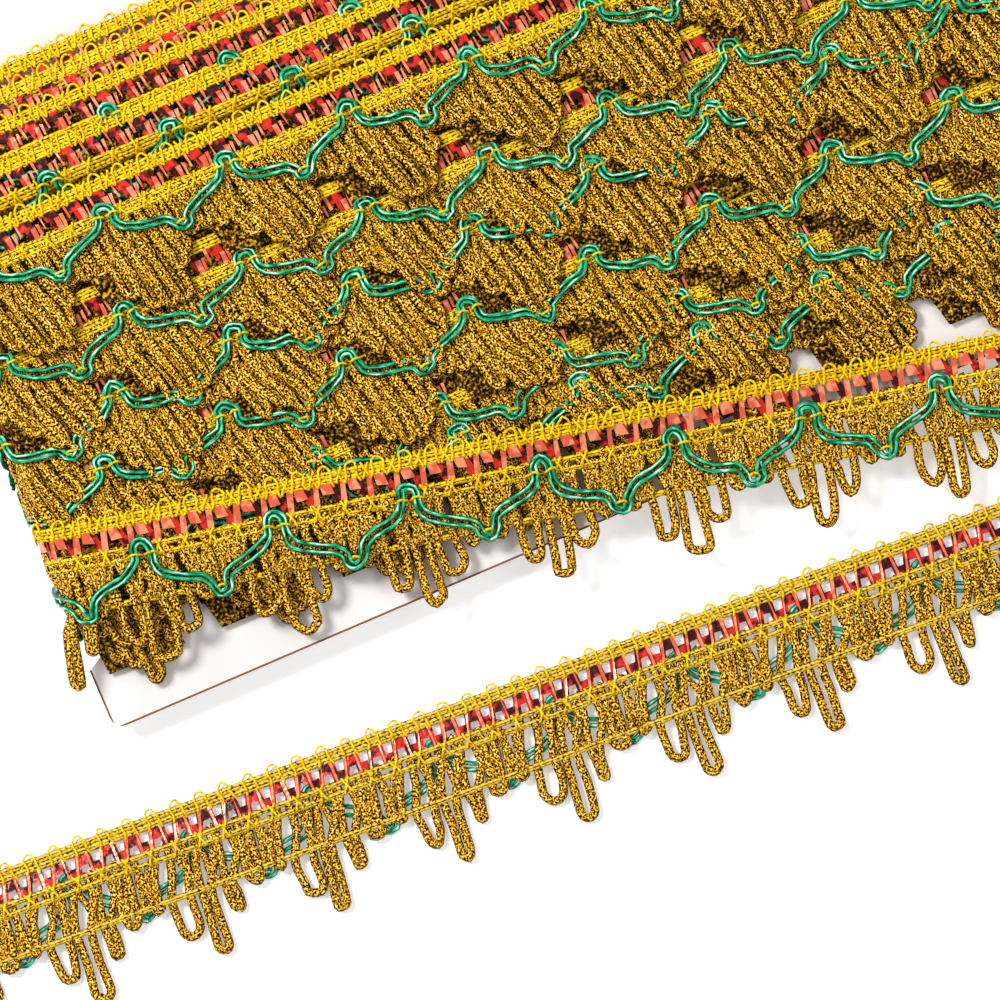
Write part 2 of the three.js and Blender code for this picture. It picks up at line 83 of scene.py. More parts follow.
# Braided strips: step along, upper and lower edge below the picot tips, columns across, middles
# of the stitch rows, stitch length and half a stitch row's width.
HEADER = (0.42, 1.5, 4.5, 9, (2.25, 3.75), 1.35, 0.8)
BAND_TOP = (0.42, 8.6, 9.9, 5, (9.25,), 1.35, 0.65)
BAND_FOOT = (0.42, 10.8, 12.1, 5, (11.45,), 1.35, 0.65)
CHAIN = (0.45, 20.0, 21.4, 5, (20.7,), 1.5, 0.7)
ROW_HEADER = (0.62, 1.5, 4.5, 7, (2.25, 3.75), 1.4, 0.8)
ROW_BAND = (0.62, 8.6, 11.8, 7, (9.4, 11.0), 1.4, 0.85)
BACK_HEADER = (1.4, 1.2, 4.6, 4, (2.9,), 2.8, 1.7)
BACK_BAND = (1.4, 8.6, 11.8, 4, (10.2,), 2.8, 1.7)
HEADER_CROSSED, BAND_CROSSED = 1.2, 8.5

# A strip with its face up and with its wrong side up: heights of the stitches' foot, of their
# crown over it, and of the flat side.
BRAID_FACE, BRAID_REVERSE = (0.75, 0.75, 0.1), (0.45, -0.6, 1.3)

# The braid's map: width of a course and length of a stitch. The wrong side is mapped a hundred
# courses on.
COURSE, STITCH = 0.75, 1.35
WRONG_SIDE = 100 * COURSE

# The last turn and the loose end: heading in degrees, pitch, fold and levels, as in the solids.
# Round the left edge the turn stands EDGE_OUT off the winding, and its leaf loops come free of
# the edge over the distances below the picot tips that EDGE_LEAVES_FREE gives.
LAST_X, LAST_Y, LAST_HEADING, LAST_PITCH = 22.3, 34.1, -11.58, 29.55
LAST_KNOT = 8
LEVEL_WOUND, LEVEL_CARD, EDGE_SAG = 14.6, 8.9, 0.17
LAND_FROM, LAND_TO = 228.0, 258.0
CLIMB_FROM, CLIMB_TO = 2.0, 28.0
FOLD_ALONG, FOLD_DIRECTION, FOLD_RADIUS, FOLD_PITCH = 250.8, 99.2, 2.6, 26.5
LOOSE_HEADING, LOOSE_LEAD, LOOSE_BEND, LOOSE_TURN = 210.0, 22.6, 86.0, 33.0
LOOSE_PITCH = 28.5
LOOSE_KNOTS = 11
LOOSE_TOP = 2.8
HALF_BEND = FOLD_RADIUS * np.pi / 2
EDGE_OUT = 0.9
EDGE_LEAVES_FREE = 20.5, 26
TRIM_STARTS, TRIM_ENDS = -0.9, LAST_KNOT + LOOSE_KNOTS + 1.4

# How far header and leaf loops of the loose end sink to the floor, where each lies below the
# picot tips, and the way past the fold that the sinking takes.
HEADER_SETTLES, HEADER_ENDS = 1.4, (4.9, 7.8)
LEAVES_SETTLE, LEAVES_START = 0.7, (21.3, 25.3)
SETTLING_RUN = 14

# The wound turns: knot line at the card's left and right, and the place of one knot. The front's
# knots may lie PAST_EDGE beyond its ends, and the back's stop SHORT_OF_EDGE before a full turn.
TURNS = [
    dict(left=135.0, right=135.0, knot=20.0),
    dict(left=130.5, right=130.5, knot=31.0),
    dict(left=124.0, right=124.0, knot=24.0),
    dict(left=115.5, right=115.5, knot=35.0),
    dict(left=104.0, right=104.0, knot=43.4),
    dict(left=83.0, right=84.0, knot=39.0),
    dict(left=67.0, right=75.5, knot=30.0),
    dict(left=54.0, right=55.0, knot=22.0),
    dict(left=37.0, right=39.0, knot=36.0),
    dict(left=31.0, right=28.5, knot=38.0, foot=-0.7),
]
TOP_TURN = 4
TURN_PITCH = 28.7
KNOTS_TRIED = np.arange(-2, 20)
PAST_EDGE, SHORT_OF_EDGE = 16, 4

# Lift of a turn over the crest of the winding: at the header and at the foot, for the turns above
# the top row, for the top row and for those below it.
UPPER_LIFT, UPPER_TUCKED = (0.4, -3.4), (8.5, 14)
TOP_LIFT = 0.2, 1.2
TURN_LIFT_HEAD, TURN_LIFT_FOOT = -1.4, 0.8
SHINGLED = 2, 30
SHINGLE_BACK, LIFT_OUT = 0.5, 0.35
CREST_Y = [10, 30, 60, 90, 106, 118, 127, 135, 144]
CREST_HEIGHT = [1.8, 4.0, 5.4, 6.4, 7.4, 6.0, 4.4, 3.0, 1.6]

# Leaf loops, for one repeat round the green knot: place of both legs in the second band, in the
# middle of the mesh and at the chain, then the tip's place, reach and half width.
LEG_NAMES = ["top_a", "mid_a", "root_a", "tip", "reach", "half", "root_b", "mid_b", "top_b"]
FACE_LOOPS = [
    (-14.2, -13.3, -12.9, -11.9, 23.6, 1.0, -10.8, -11.0, -11.6),
    (-10.4, -10.2, -8.0, -5.7, 30.6, 1.95, -3.9, -5.0, -6.6),
    (-4.6, -4.0, -1.9, 0.3, 36.0, 1.8, 1.3, 0.2, -1.6),
    (1.8, 2.6, 3.1, 5.6, 29.8, 1.85, 7.0, 5.4, 4.6),
    (8.0, 10.0, 9.4, 10.9, 23.8, 1.1, 12.0, 12.2, 12.6),
]
LOOSE_LOOPS = [
    (-13.4, -13.2, -12.8, -11.4, 24.2, 1.35, -9.8, -10.8, -11.4),
    (-9.0, -9.6, -6.6, -5.5, 28.9, 0.8, -4.6, -5.4, -6.6),
    (-5.0, -4.4, -1.4, 0.2, 36.2, 1.35, 1.2, 0.2, -1.6),
    (1.6, 2.4, 3.6, 6.0, 31.0, 1.95, 7.8, 5.6, 4.8),
    (8.2, 9.8, 10.6, 11.4, 22.8, 0.8, 12.2, 12.4, 12.8),
]
EDGE_LOOPS = [
    (8.2, 8.6, 8.5, 9.3, 37.6, 0.85, 10.0, 10.2, 10.4),
    (12.6, 13.0, 13.2, 14.2, 31.0, 0.85, 15.4, 15.6, 15.0),
]
PRESSED_LOOPS = [
    (-15.0, -14.0, -13.2, -12.6, 21.4, 1.0, -11.4, -12.4, -13.6),
    (-11.8, -11.2, -10.4, -9.4, 21.8, 1.1, -8.2, -9.2, -10.4),
    (-8.6, -8.0, -7.2, -6.2, 22.4, 1.1, -5.2, -6.0, -7.0),
    (-6.0, -4.9, -4.0, -2.4, 27.6, 1.3, -1.6, -3.2, -4.4),
    (-3.4, -2.0, -1.0, 0.9, 31.6, 1.4, 1.6, 0.0, -1.2),
    (-0.2, 1.2, 2.2, 4.0, 34.0, 1.45, 4.8, 3.2, 2.2),
    (2.8, 4.2, 5.4, 7.1, 33.0, 1.45, 7.8, 6.4, 5.2),
    (6.0, 7.4, 8.4, 10.0, 30.0, 1.35, 10.8, 9.4, 8.2),
    (9.0, 10.4, 11.4, 12.4, 26.0, 1.1, 13.2, 12.2, 11.2),
]
# Diagonals of the gold mesh: place at its top and at its foot.
DIAGONALS = [(-13.8, -10.2), (-12.0, -14.0), (-9.0, -11.6), (-5.8, -2.6), (-1.4, -3.4)]
DIAGONALS += [(1.0, -0.6), (3.8, 1.2), (5.8, 4.4), (9.4, 12.4), (13.0, 10.0), (12.4, 14.2)]
FILLING = [(-11.2, -7.0), (-7.6, -9.4), (-3.6, 0.6), (3.2, -2.0), (7.8, 8.6), (11.4, 6.8)]
MESH_TOP, MESH_MIDDLE, MESH_FOOT = 10.6, 15.4, 20.8
MESH_PATH = [(0, MESH_TOP, 0.4), (0.35, 13.8, 1.15), (0.7, 17.4, 0.85), (1, MESH_FOOT, 0.9)]

# Leaf loops: where a cord is tucked into the band and at what heights it lies, the places of the
# tip's quarter points, and where a pressed bunch starts to lean.
TUCK_END, TUCK_TOP, TUCK_FOOT = 9.6, 8.9, 10.8
TUCKED_FACE, TUCKED_REVERSE = 0.45, 1.2
LOOP_LEVEL, LOOP_STEP, LOOP_OVER = 0.72, 0.22, 0.25
TIP_STRETCH, TIP_IN, TIP_DOWN = 1.35, 0.146, 0.707
LOOPS_START, BELOW_CHAIN = 20, (21, 27)
LEAN_FROM = 20.5
BACK_LEAN = 0.1

# Unevenness of hand: spread of each kind of point in millimetres, and spread of a leaf loop's
# width (as a share), length (in millimetres) and lean (as a slope).
UNEVEN_LOOPS, UNEVEN_MESH, UNEVEN_GREEN, UNEVEN_PICOTS, UNEVEN_YARNS = 0.2, 0.35, 0.18, 0.1, 0.12
LOOP_WIDENS, LOOP_LENGTHENS, LOOP_LEANS = 0.16, 0.5, 0.03

# The pressed bunches of the rows: lean, share of the depth that the green cord keeps, sway, heap,
# one more cord down the middle of each loop, and plates of packed cord under them.
PRESSED_LEAN = 0.24
PRESSED_DEPTH = 0.74
PRESSED_SWAY = 0.8
HEAP_HEIGHT, HEAP_MIDDLE, HEAP_HALF = 2.0, 2.5, 7.5
HEAP_TOP, HEAP_DEPTH, HEAP_SUNK, HEAP_SINKS = 18, 17, 0.35, (11, 14)
INNER_SUNK, INNER_RADIUS = 1.05, 0.7
BACKED_ALONG, BACKED_BELOW, BACKED_CELL = (-9.5, 10.0), (17.0, 29.0), 4.0
BACKED_LEVELS = 0.05, 0.35

# The green cord of one repeat: place along the trim from the knot and below the picot tips. Its
# ties lie over both legs and over the valley. It shows from the third turn on, and round the left
# edge only its points from GREEN_AT_EDGE on are laid.
GREEN_ALONG = [-14.6, -13.45, -12.95, -12.7, -12.0, -9.6, -6.2, -3.7, -2.6, -2.4, -2.2, -0.8]
GREEN_ALONG += [0.8, 1.1, 1.2, 2.6, 6.6, 10.6, 12.3, 12.9, 13.45, 14.6]
GREEN_BELOW = [22.8, 22.4, 21.5, 20.3, 18.5, 16.9, 15.5, 13.9, 12.1, 10.2, 8.8, 7.9]
GREEN_BELOW += [8.9, 10.6, 13.2, 15.7, 17.5, 18.4, 19.9, 21.5, 22.4, 22.8]
GREEN_TIES = [(-2.4, 10.9), (1.1, 10.9), (14.35, 20.9)]
GREEN_FROM_TURN = 2
GREEN_AT_EDGE = 15

# Yarns as (along, below, height): a picot from its middle and the picot tips, one yarn of a
# crossing from its middle and the strip's edge, and a tie from the cord that it holds.
PICOT = [(-1.9, 4.8, 0.1), (-1.35, 3.4, 0.25), (-1.3, 1.9, 0.2), (-0.95, 0.8, -0.2), (0, 0.3, -0.35)]
PICOT += [(0.95, 0.8, -0.2), (1.3, 1.9, 0.2), (1.0, 3.4, 0.3), (1.5, 4.8, 0.1)]
CROSSING = [(-0.9, 3.4, 0.1), (-0.4, 2.2, 0.25), (0.3, 0.8, 0.25), (0.8, -0.1, 0.0)]
TIE = [(-1.3, 0.3, -0.7), (-0.9, 0, 0.35), (0, -0.2, 0.6), (0.9, 0, 0.35), (1.3, 0.3, -0.7)]

# Foil plates of one picot: top and foot below the picot tips, left and right at the top, left and
# right at the foot, and height. The light plates are the red foil with a painted highlight, the
# dark plates the same foil in painted shade.
LAST_FOIL = dict(
    light=[(3.9, 9.0, -2.9, -1.7, -3.3, -1.95, 0.75), (3.8, 6.6, -1.5, 0.6, -1.0, 1.4, 0.95)],
    dark=[(3.9, 6.8, 0.3, 1.65, 1.0, 2.6, 0.6), (6.3, 9.0, 0.7, 3.0, 1.5, 2.7, 0.45)],
)
ROW_FOIL = dict(
    light=[(3.9, 7.4, -2.9, -2.4, -2.3, -1.9, 0.9), (6.1, 8.9, 0.2, 1.4, 0.6, 1.6, 0.9),
           (5.8, 8.4, 1.8, 2.5, 2.0, 2.5, 0.8)],
    dark=[(3.8, 6.3, -2.45, 0.6, -1.6, 1.3, 0.75), (6.0, 8.8, -1.0, 0.1, -0.4, 0.6, 0.6)],
)
LOOSE_FOIL = dict(
    light=[(3.9, 8.8, 0.85, 1.4, 1.95, 2.5, 0.15), (3.9, 8.8, -1.4, -0.85, -1.65, -1.1, 0.15)],
    dark=[(3.9, 9.0, 0.4, 1.75, 1.5, 2.85, 0.5), (3.9, 9.0, -1.75, -0.4, -2.0, -0.7, 0.5),
          (3.9, 6.7, -0.9, 0.9, -1.1, 1.3, 0.85), (6.7, 9.0, 2.3, 4.1, 2.5, 4.0, 0.85)],
)
SHOWN_PICOTS = 0, 1, 2

# Pieces: the yarns, the slot of each, and the solids that the laid ones stand for.
SLOTS = dict(lace="gold_cord", braid="yellow_yarn", picots="yellow_yarn", light_foil="red_foil")
SLOTS.update(dark_foil="red_foil", green_cord="green_cord", chain="yellow_yarn")
STOOD_FOR = dict(lace=["lace"], braid=["header", "band"], light_foil=["foil"])
STOOD_FOR.update(green_cord=["green_cord"], chain=["chain"])

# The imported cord: rings across the card from the lower to the upper margin.
CORE_Y = np.linspace(20, 138, 60)
CORE_X = np.linspace(WAIST, CARD_LENGTH - WAIST, 60)
CORE_TURN = np.linspace(0, np.pi, 8)[1:-1]
CORE_BELOW_CREST, CORE_OUT, CORE_INSIDE_BACK = 1.5, 1.8, 0.2

# Camera and studio, in metres and watts. The turn is in degrees, the sensor in millimetres.
CAMERA_X, CAMERA_Y, CAMERA_DISTANCE, CAMERA_TURN = -0.0052, -0.0369, 1.3, -23.2
SEEN_WIDTH, SENSOR_WIDTH = 0.2188, 36
SURROUND = 0.5
MAIN_LIGHT = dict(place=(-0.5, 0.7, 0.95), size=0.35, power=15.0)
SIDE_LIGHT = dict(place=(0.8, -0.2, 0.9), size=0.6, power=3.5)
FLOOR_HALF, FLOOR_GLOW = 3.0, 0.3


def towards(degrees):
    """Unit vector in the plan of a heading: the cosine along x and the sine along y."""
    angle = np.radians(degrees)
    return np.stack([np.cos(angle), np.sin(angle)], axis=-1)


def ease(x, low, high):
    """Smooth step: 0 below low, 1 above high, 3t^2 - 2t^3 between."""
    t = np.clip((x - low) / (high - low), 0, 1)
    return t * t * (3 - 2 * t)


def mix(a, b, t):
    """Straight blend of two values: the first plus t times the difference."""
    return a + (b - a) * t


FOLD_POINT = np.array([LAST_X, LAST_Y]) + FOLD_ALONG * towards(LAST_HEADING)
FOLD_NORMAL = towards(FOLD_DIRECTION - 90)


def along_at(repeats):
    """Distance along the last turn and loose end of a number of repeats from its first knot."""
    start = LAST_KNOT * LAST_PITCH
    past = np.asarray(repeats, float) - LAST_KNOT
    front = start + np.minimum(past, 0) * LAST_PITCH
    return front + np.clip(past, 0, 1) * FOLD_PITCH + np.maximum(past - 1, 0) * LOOSE_PITCH


def mirror_in_fold(flat):
    """Mirror image of plan points in the fold line: each goes back by twice its depth past it."""
    depth = (flat - FOLD_POINT) @ FOLD_NORMAL
    return flat - 2 * depth[..., None] * FOLD_NORMAL


def flat_point(along, below):
    """Plan point of the unfolded trim. Before the fold the knot line is straight; past it the
    line is a straight lead, an arc and a straight run, mirrored in the fold line."""
    front = np.array([LAST_X, LAST_Y]) + along[..., None] * towards(LAST_HEADING)
    front = front + below[..., None] * towards(LAST_HEADING - 90)
    past = along - FOLD_ALONG
    arc = LOOSE_BEND * np.radians(LOOSE_TURN)
    on_arc = np.clip(past - LOOSE_LEAD, 0, arc)
    heading = LOOSE_HEADING - np.degrees(on_arc / LOOSE_BEND)
    laid = FOLD_POINT + np.minimum(past, LOOSE_LEAD)[..., None] * towards(LOOSE_HEADING)
    laid = laid - LOOSE_BEND * towards(LOOSE_HEADING + 90)
    laid = laid + (LOOSE_BEND + below)[..., None] * towards(heading + 90)
    laid = laid + np.maximum(past - LOOSE_LEAD - arc, 0)[..., None] * towards(heading)
    return np.where((along <= FOLD_ALONG)[..., None], front, mirror_in_fold(laid))


def last_level(x, y):
    """Height of the last turn's wrong side: on the wound turns, on the card, past its edge."""
    resting = mix(LEVEL_CARD, LEVEL_WOUND, ease(y, CLIMB_FROM, CLIMB_TO))
    sagging = resting + np.minimum(y, 0) * EDGE_SAG
    at_fold = LOOSE_TOP + 2 * (FOLD_RADIUS - TRIM_MIDDLE)
    return mix(sagging, at_fold, ease(x, LAND_FROM, LAND_TO))


def lay_last(along, below, height):
    """Lays trim points along the last turn: round the left edge, across the front, through the
    half turn of the fold, and back along the floor with the wrong side up. On the front a point
    stands its height over the turn's level. Edge and fold are half circles about the card's
    middle and about the fold's centre, where the height adds to the radius."""
    flat = flat_point(along, below - KNOT_LINE)
    x, y = flat[..., 0], flat[..., 1]
    depth = (flat - FOLD_POINT) @ FOLD_NORMAL
    front = np.stack([x, y, last_level(x, y) + height], axis=-1)
    angle = (WAIST - x) / ((SIDE_OUT + LEVEL_WOUND - CARD_MIDDLE) / 2)
    rise = last_level(WAIST, y) - CARD_MIDDLE + height
    reach = SIDE_OUT + EDGE_OUT + height
    edge = np.stack([WAIST - reach * np.sin(angle), y, CARD_MIDDLE + rise * np.cos(angle)], -1)
    turned = np.clip(depth + HALF_BEND, 0, 2 * HALF_BEND) / FOLD_RADIUS
    radius = FOLD_RADIUS + height - TRIM_MIDDLE
    centre = LOOSE_TOP - TRIM_MIDDLE + FOLD_RADIUS
    forward = -HALF_BEND + radius * np.sin(turned) - depth
    bent = flat + forward[..., None] * FOLD_NORMAL
    bend = np.concatenate([bent, (centre + radius * np.cos(turned))[..., None]], axis=-1)
    laid = mirror_in_fold(flat)
    header, leaves = 1 - ease(below, *HEADER_ENDS), ease(below, *LEAVES_START)
    settled = header * HEADER_SETTLES + leaves * LEAVES_SETTLE
    settled = settled * ease(depth, HALF_BEND, HALF_BEND + SETTLING_RUN)
    reverse = np.concatenate([laid, (LOOSE_TOP - height - settled)[..., None]], axis=-1)
    point = np.where((depth < -HALF_BEND)[..., None], front, bend)
    point = np.where((depth > HALF_BEND)[..., None], reverse, point)
    edge = mix(edge, front, ease(below, *EDGE_LEAVES_FREE)[..., None])
    return np.where((x < WAIST)[..., None], edge, point)


def turn_lay(number):
    """Laying function of one wound turn. Along is measured from the left waist over the front,
    round the right side, over the back and round the left side; the outside is the face. The
    section is straight on front and back. Each side is a half turn of the angle about the card's
    middle, with x out by its sine and z up by its cosine."""
    turn = TURNS[number]
    following = TURNS[min(number + 1, len(TURNS) - 1)]

    def lay(along, below, height):
        """Point of this turn: its line's y, the side's x, and z by the angle round the card."""
        right = np.clip((along - FRONT_RUN) / SIDE_RUN, 0, 1)
        left = np.clip((along - 2 * FRONT_RUN - SIDE_RUN) / SIDE_RUN, 0, 1)
        before = np.clip(-along / SIDE_RUN, 0, 1)
        angle = np.pi * (right + left - before)
        on_front = np.clip(along, 0, FRONT_RUN)
        on_back = np.clip(along - FRONT_RUN - SIDE_RUN, 0, FRONT_RUN)
        side = WAIST + on_front - on_back + np.maximum(-along - SIDE_RUN, 0)
        front_line = mix(turn["left"], turn["right"], on_front / FRONT_RUN)
        line = mix(front_line, following["left"], on_back / FRONT_RUN)
        y = line + KNOT_LINE - below
        shingle = ease(below, *SHINGLED)
        if number < TOP_TURN:
            lift = mix(*UPPER_LIFT, ease(below, *UPPER_TUCKED))
        elif number == TOP_TURN:
            lift = mix(*TOP_LIFT, shingle)
        else:
            lift = mix(TURN_LIFT_HEAD, turn.get("foot", TURN_LIFT_FOOT), shingle)
        front = CARD_TOP + np.interp(y, CREST_Y, CREST_HEIGHT) + lift - CARD_MIDDLE
        back = CARD_MIDDLE - BACK_LEVEL - SHINGLE_BACK * (1 - shingle)
        facing = (1 + np.cos(angle)) / 2
        rise = mix(back, front, facing) + height
        out = (SIDE_OUT + LIFT_OUT * lift + height) * np.sin(angle)
        x = side + out
        z = CARD_MIDDLE + rise * np.cos(angle)
        return np.stack([x, y, z], axis=-1)

    return lay


def spline(points, steps):
    """Smooth path through control points (..., points, 3): cubic Catmull-Rom pieces, each taken
    in the same number of steps."""
    last = points.shape[-2] - 1
    at = np.linspace(0, last, last * steps + 1)
    cell = np.minimum(at.astype(int), last - 1)
    t = (at - cell)[:, None]
    p0 = points[..., np.maximum(cell - 1, 0), :]
    p1 = points[..., cell, :]
    p2 = points[..., cell + 1, :]
    p3 = points[..., np.minimum(cell + 2, last), :]
    curve = 2 * p1 + (p2 - p0) * t + (2 * p0 - 5 * p1 + 4 * p2 - p3) * t**2
    return 0.5 * (curve + (3 * p1 - p0 - 3 * p2 + p3) * t**3)


class Batch:
    """Collects closed tubes and strips as arrays, and stores them as one mesh."""

    def __init__(self):
        """Empty lists, and the number of points collected so far."""
        self.points = []
        self.quads = []
        self.quad_uvs = []
        self.caps = []
        self.count = 0

    def add_rings(self, rings, along, around):
        """Rings (..., steps, sides, 3) joined into closed tubes with a flat cap at each end.
        Along and around are the map coordinates of the steps and of the sides."""
        steps, sides = rings.shape[-3], rings.shape[-2]
        rings = rings.reshape(-1, steps, sides, 3)
        pieces = len(rings)
        index = self.count + np.arange(pieces * steps * sides).reshape(pieces, steps, sides)
        shifted = np.roll(index, -1, axis=2)
        quads = [index[:, :-1], shifted[:, :-1], shifted[:, 1:], index[:, 1:]]
        self.quads.append(np.stack(quads, axis=-1).reshape(-1, 4))
        u = np.broadcast_to(along.reshape(-1, steps, 1), (pieces, steps, sides))
        v = np.broadcast_to(around[:-1], (pieces, steps, sides))
        v_next = np.broadcast_to(around[1:], (pieces, steps, sides))
        corners = [(u[:, :-1], v[:, :-1]), (u[:, :-1], v_next[:, :-1])]
        corners += [(u[:, 1:], v_next[:, 1:]), (u[:, 1:], v[:, 1:])]
        uv = np.stack([np.stack(corner, axis=-1) for corner in corners], axis=-2)
        self.quad_uvs.append(uv.reshape(-1, 4, 2))
        self.caps.append(index[:, 0, ::-1].reshape(pieces, sides))
        self.caps.append(index[:, -1, :].reshape(pieces, sides))
        self.points.append(rings.reshape(-1, 3))
        self.count += pieces * steps * sides

    def add_tubes(self, lay, paths, radius, sides, squash=1.0):
        """Cords: a round section of the radius carried along paths (count, steps, 3) of trim
        points. Its side is square to the path and to the trim's outward direction, and its lift
        is square to both; squash times the radius is its half height. Its map is millimetres
        along it, from a place taken by chance, and parts of a turn round it."""
        centre = lay(paths[..., 0], paths[..., 1], paths[..., 2])
        above = lay(paths[..., 0], paths[..., 1], paths[..., 2] + 1.0)
        up = above - centre
        tangent = np.gradient(centre, axis=-2)
        tangent /= np.linalg.norm(tangent, axis=-1, keepdims=True) + 1e-9
        side = np.cross(tangent, up)
        side /= np.linalg.norm(side, axis=-1, keepdims=True) + 1e-9
        lift = np.cross(side, tangent)
        angle = np.linspace(0, 2 * np.pi, sides, endpoint=False)
        wide = np.asarray(radius)[..., None, None] * np.ones(centre.shape[:-1])[..., None, None]
        spread = np.cos(angle)[:, None] * side[..., None, :]
        spread = spread - squash * np.sin(angle)[:, None] * lift[..., None, :]
        rings = centre[..., None, :] + wide * spread
        length = np.linalg.norm(np.diff(centre, axis=-2), axis=-1)
        along = np.concatenate([np.zeros((*length.shape[:-1], 1)), np.cumsum(length, -1)], -1)
        along += random.uniform(0, 900, (*length.shape[:-1], 1))
        self.add_rings(rings, along, np.linspace(0, 1, sides + 1))

    def add_strip(self, lay, along, below, relief, flat, face):
        """A strip carried along the trim: one side is the relief (steps, columns), a height over
        the trim's wrong side, and the other is flat. The relief is on the face or under it."""
        edges = below[[0, -1]]
        level = np.full((len(along), 2), flat)
        if face:
            order = np.concatenate([below, edges[::-1]])
            heights = np.concatenate([relief, level], axis=1)
        else:
            order = np.concatenate([edges, below[::-1]])
            heights = np.concatenate([level, relief[:, ::-1]], axis=1)
        u = np.broadcast_to(along[:, None], heights.shape)
        v = np.broadcast_to(order, heights.shape)
        rings = lay(u, v, heights)
        shown = 0 if face else WRONG_SIDE
        self.add_rings(rings[None], along, np.append(order, order[0]) - below[0] + shown)

    def add_blocks(self, lay, corners, low, high):
        """Flat four-cornered plates (count, 4, 2) in trim coordinates, from low to high."""
        heights = np.broadcast_to(np.asarray(low, float), corners.shape[:-1])
        tops = np.broadcast_to(np.asarray(high, float), corners.shape[:-1])
        foot = lay(corners[..., 0], corners[..., 1], heights)
        head = lay(corners[..., 0], corners[..., 1], tops)
        rings = np.stack([foot, head], axis=-3)
        uv_along = np.stack([corners[:, 0, 1], corners[:, 0, 1] + 0.1], axis=-1)
        self.add_rings(rings, uv_along, np.linspace(0, 1, 5))

    def store(self, name, material, slot, replaced=(), smooth=True):
        """Makes the mesh object, with its map, material and body. The slot is not used."""
        points = np.concatenate(self.points) * MM
        points += np.array([CARD_LOW[0], CARD_LOW[1], 0.0])
        quads = np.concatenate(self.quads)
        cap_corners = np.concatenate([cap.ravel() for cap in self.caps])
        totals = np.concatenate([np.full(len(cap), cap.shape[1]) for cap in self.caps])
        totals = np.concatenate([np.full(len(quads), 4), totals])
        corners = np.concatenate([quads.ravel(), cap_corners])
        mesh = bpy.data.meshes.new(name)
        mesh.vertices.add(len(points))
        mesh.vertices.foreach_set("co", points.ravel())
        mesh.loops.add(len(corners))
        mesh.loops.foreach_set("vertex_index", corners.astype(np.int32))
        mesh.polygons.add(len(totals))
        starts = np.concatenate([[0], np.cumsum(totals)[:-1]])
        mesh.polygons.foreach_set("loop_start", starts.astype(np.int32))
        mesh.polygons.foreach_set("use_smooth", np.full(len(totals), smooth))
        quad_uv = np.concatenate(self.quad_uvs).reshape(-1, 2)
        uv = np.concatenate([quad_uv, np.zeros((len(cap_corners), 2))])
        mesh.update(calc_edges=True)
        mesh.uv_layers.new(name="UVMap").data.foreach_set("uv", uv.astype(np.float32).ravel())
        mesh.materials.append(material)
        mesh.validate()
        piece = bpy.data.objects.new(name, mesh)
        bpy.context.scene.collection.objects.link(piece)
        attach(piece, "root")
        if replaced:
            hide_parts(*replaced)
        return piece


def repeats_of(rows, knots, jitter):
    """Trim points (repeats, rows, points, 3) of the rows laid out round each knot, each point
    moved a little by hand's unevenness."""
    rows = np.asarray(rows, float)
    placed = np.broadcast_to(rows, (len(knots), *rows.shape)).copy()
    placed[..., :2] += random.normal(0, jitter, placed[..., :2].shape)
    placed[..., 2] += random.normal(0, jitter / 4, placed[..., 2].shape)
    return placed


def set_on(stretch, placed):
    """Turns places along, given from the knot in the pattern's pitch, into distances laid."""
    placed[..., 0] = stretch["at"](stretch["knots"][:, None, None] + placed[..., 0] / TURN_PITCH)
    return placed


def add_cords(batch, stretch, rows, uneven, steps, radius, sides, squash=1.0):
    """Cords on smooth paths through rows of control points, laid out round each knot."""
    paths = spline(repeats_of(rows, stretch["knots"], uneven), steps)
    batch.add_tubes(stretch["lay"], set_on(stretch, paths), radius, sides, squash)


def loop_rows(loops, lean, tucked):
    """Control points of leaf loops: down from the second band, round the tip, and up again. A
    tip is half an ellipse, as wide as the loop and TIP_STRETCH times as long."""
    rows = []
    for number, values in enumerate(loops):
        loop = dict(zip(LEG_NAMES, values))
        tip, reach, half = loop["tip"], loop["reach"] - CORD_RADIUS, loop["half"]
        under = LOOP_LEVEL + LOOP_STEP * (number % 2)
        over = under + LOOP_OVER
        turn = reach - TIP_STRETCH * half
        shift = lean * (turn - LEAN_FROM)
        a, b = tip - half + shift, tip + half + shift
        neck = min(MESH_FOOT, turn - 0.6)
        leg_a, leg_b = mix(loop["root_a"], a, 0.6), mix(loop["root_b"], b, 0.6)
        leg, rounding = mix(neck, turn, 0.5), mix(turn, reach, TIP_DOWN)
        rows.append([
            (loop["top_a"] + 0.7, TUCK_END, tucked), (loop["top_a"], TUCK_TOP, tucked),
            (loop["top_a"] - 0.1, TUCK_FOOT, tucked), (loop["mid_a"], MESH_MIDDLE, under),
            (loop["root_a"], neck, under), (leg_a, leg, under), (a, turn, under),
            (mix(a, b, TIP_IN), rounding, under), (mix(a, b, 0.5), reach, under),
            (mix(a, b, 1 - TIP_IN), rounding, under), (b, turn, under), (leg_b, leg, under),
            (loop["root_b"], neck, over), (loop["mid_b"], MESH_MIDDLE, over),
            (loop["top_b"] + 0.1, TUCK_FOOT, tucked), (loop["top_b"], TUCK_TOP, tucked),
            (loop["top_b"] - 0.7, TUCK_END, tucked),
        ])
    return np.array(rows)


def add_mesh(batch, stretch, diagonals, steps, sides):
    """The gold mesh between band and chain: cords on diagonals, from their top to their foot."""
    rows = [[(mix(top, foot, share), below, height) for share, below, height in MESH_PATH]
            for top, foot in diagonals]
    add_cords(batch, stretch, rows, UNEVEN_MESH, steps, MESH_RADIUS, sides, CORD_SQUASH)


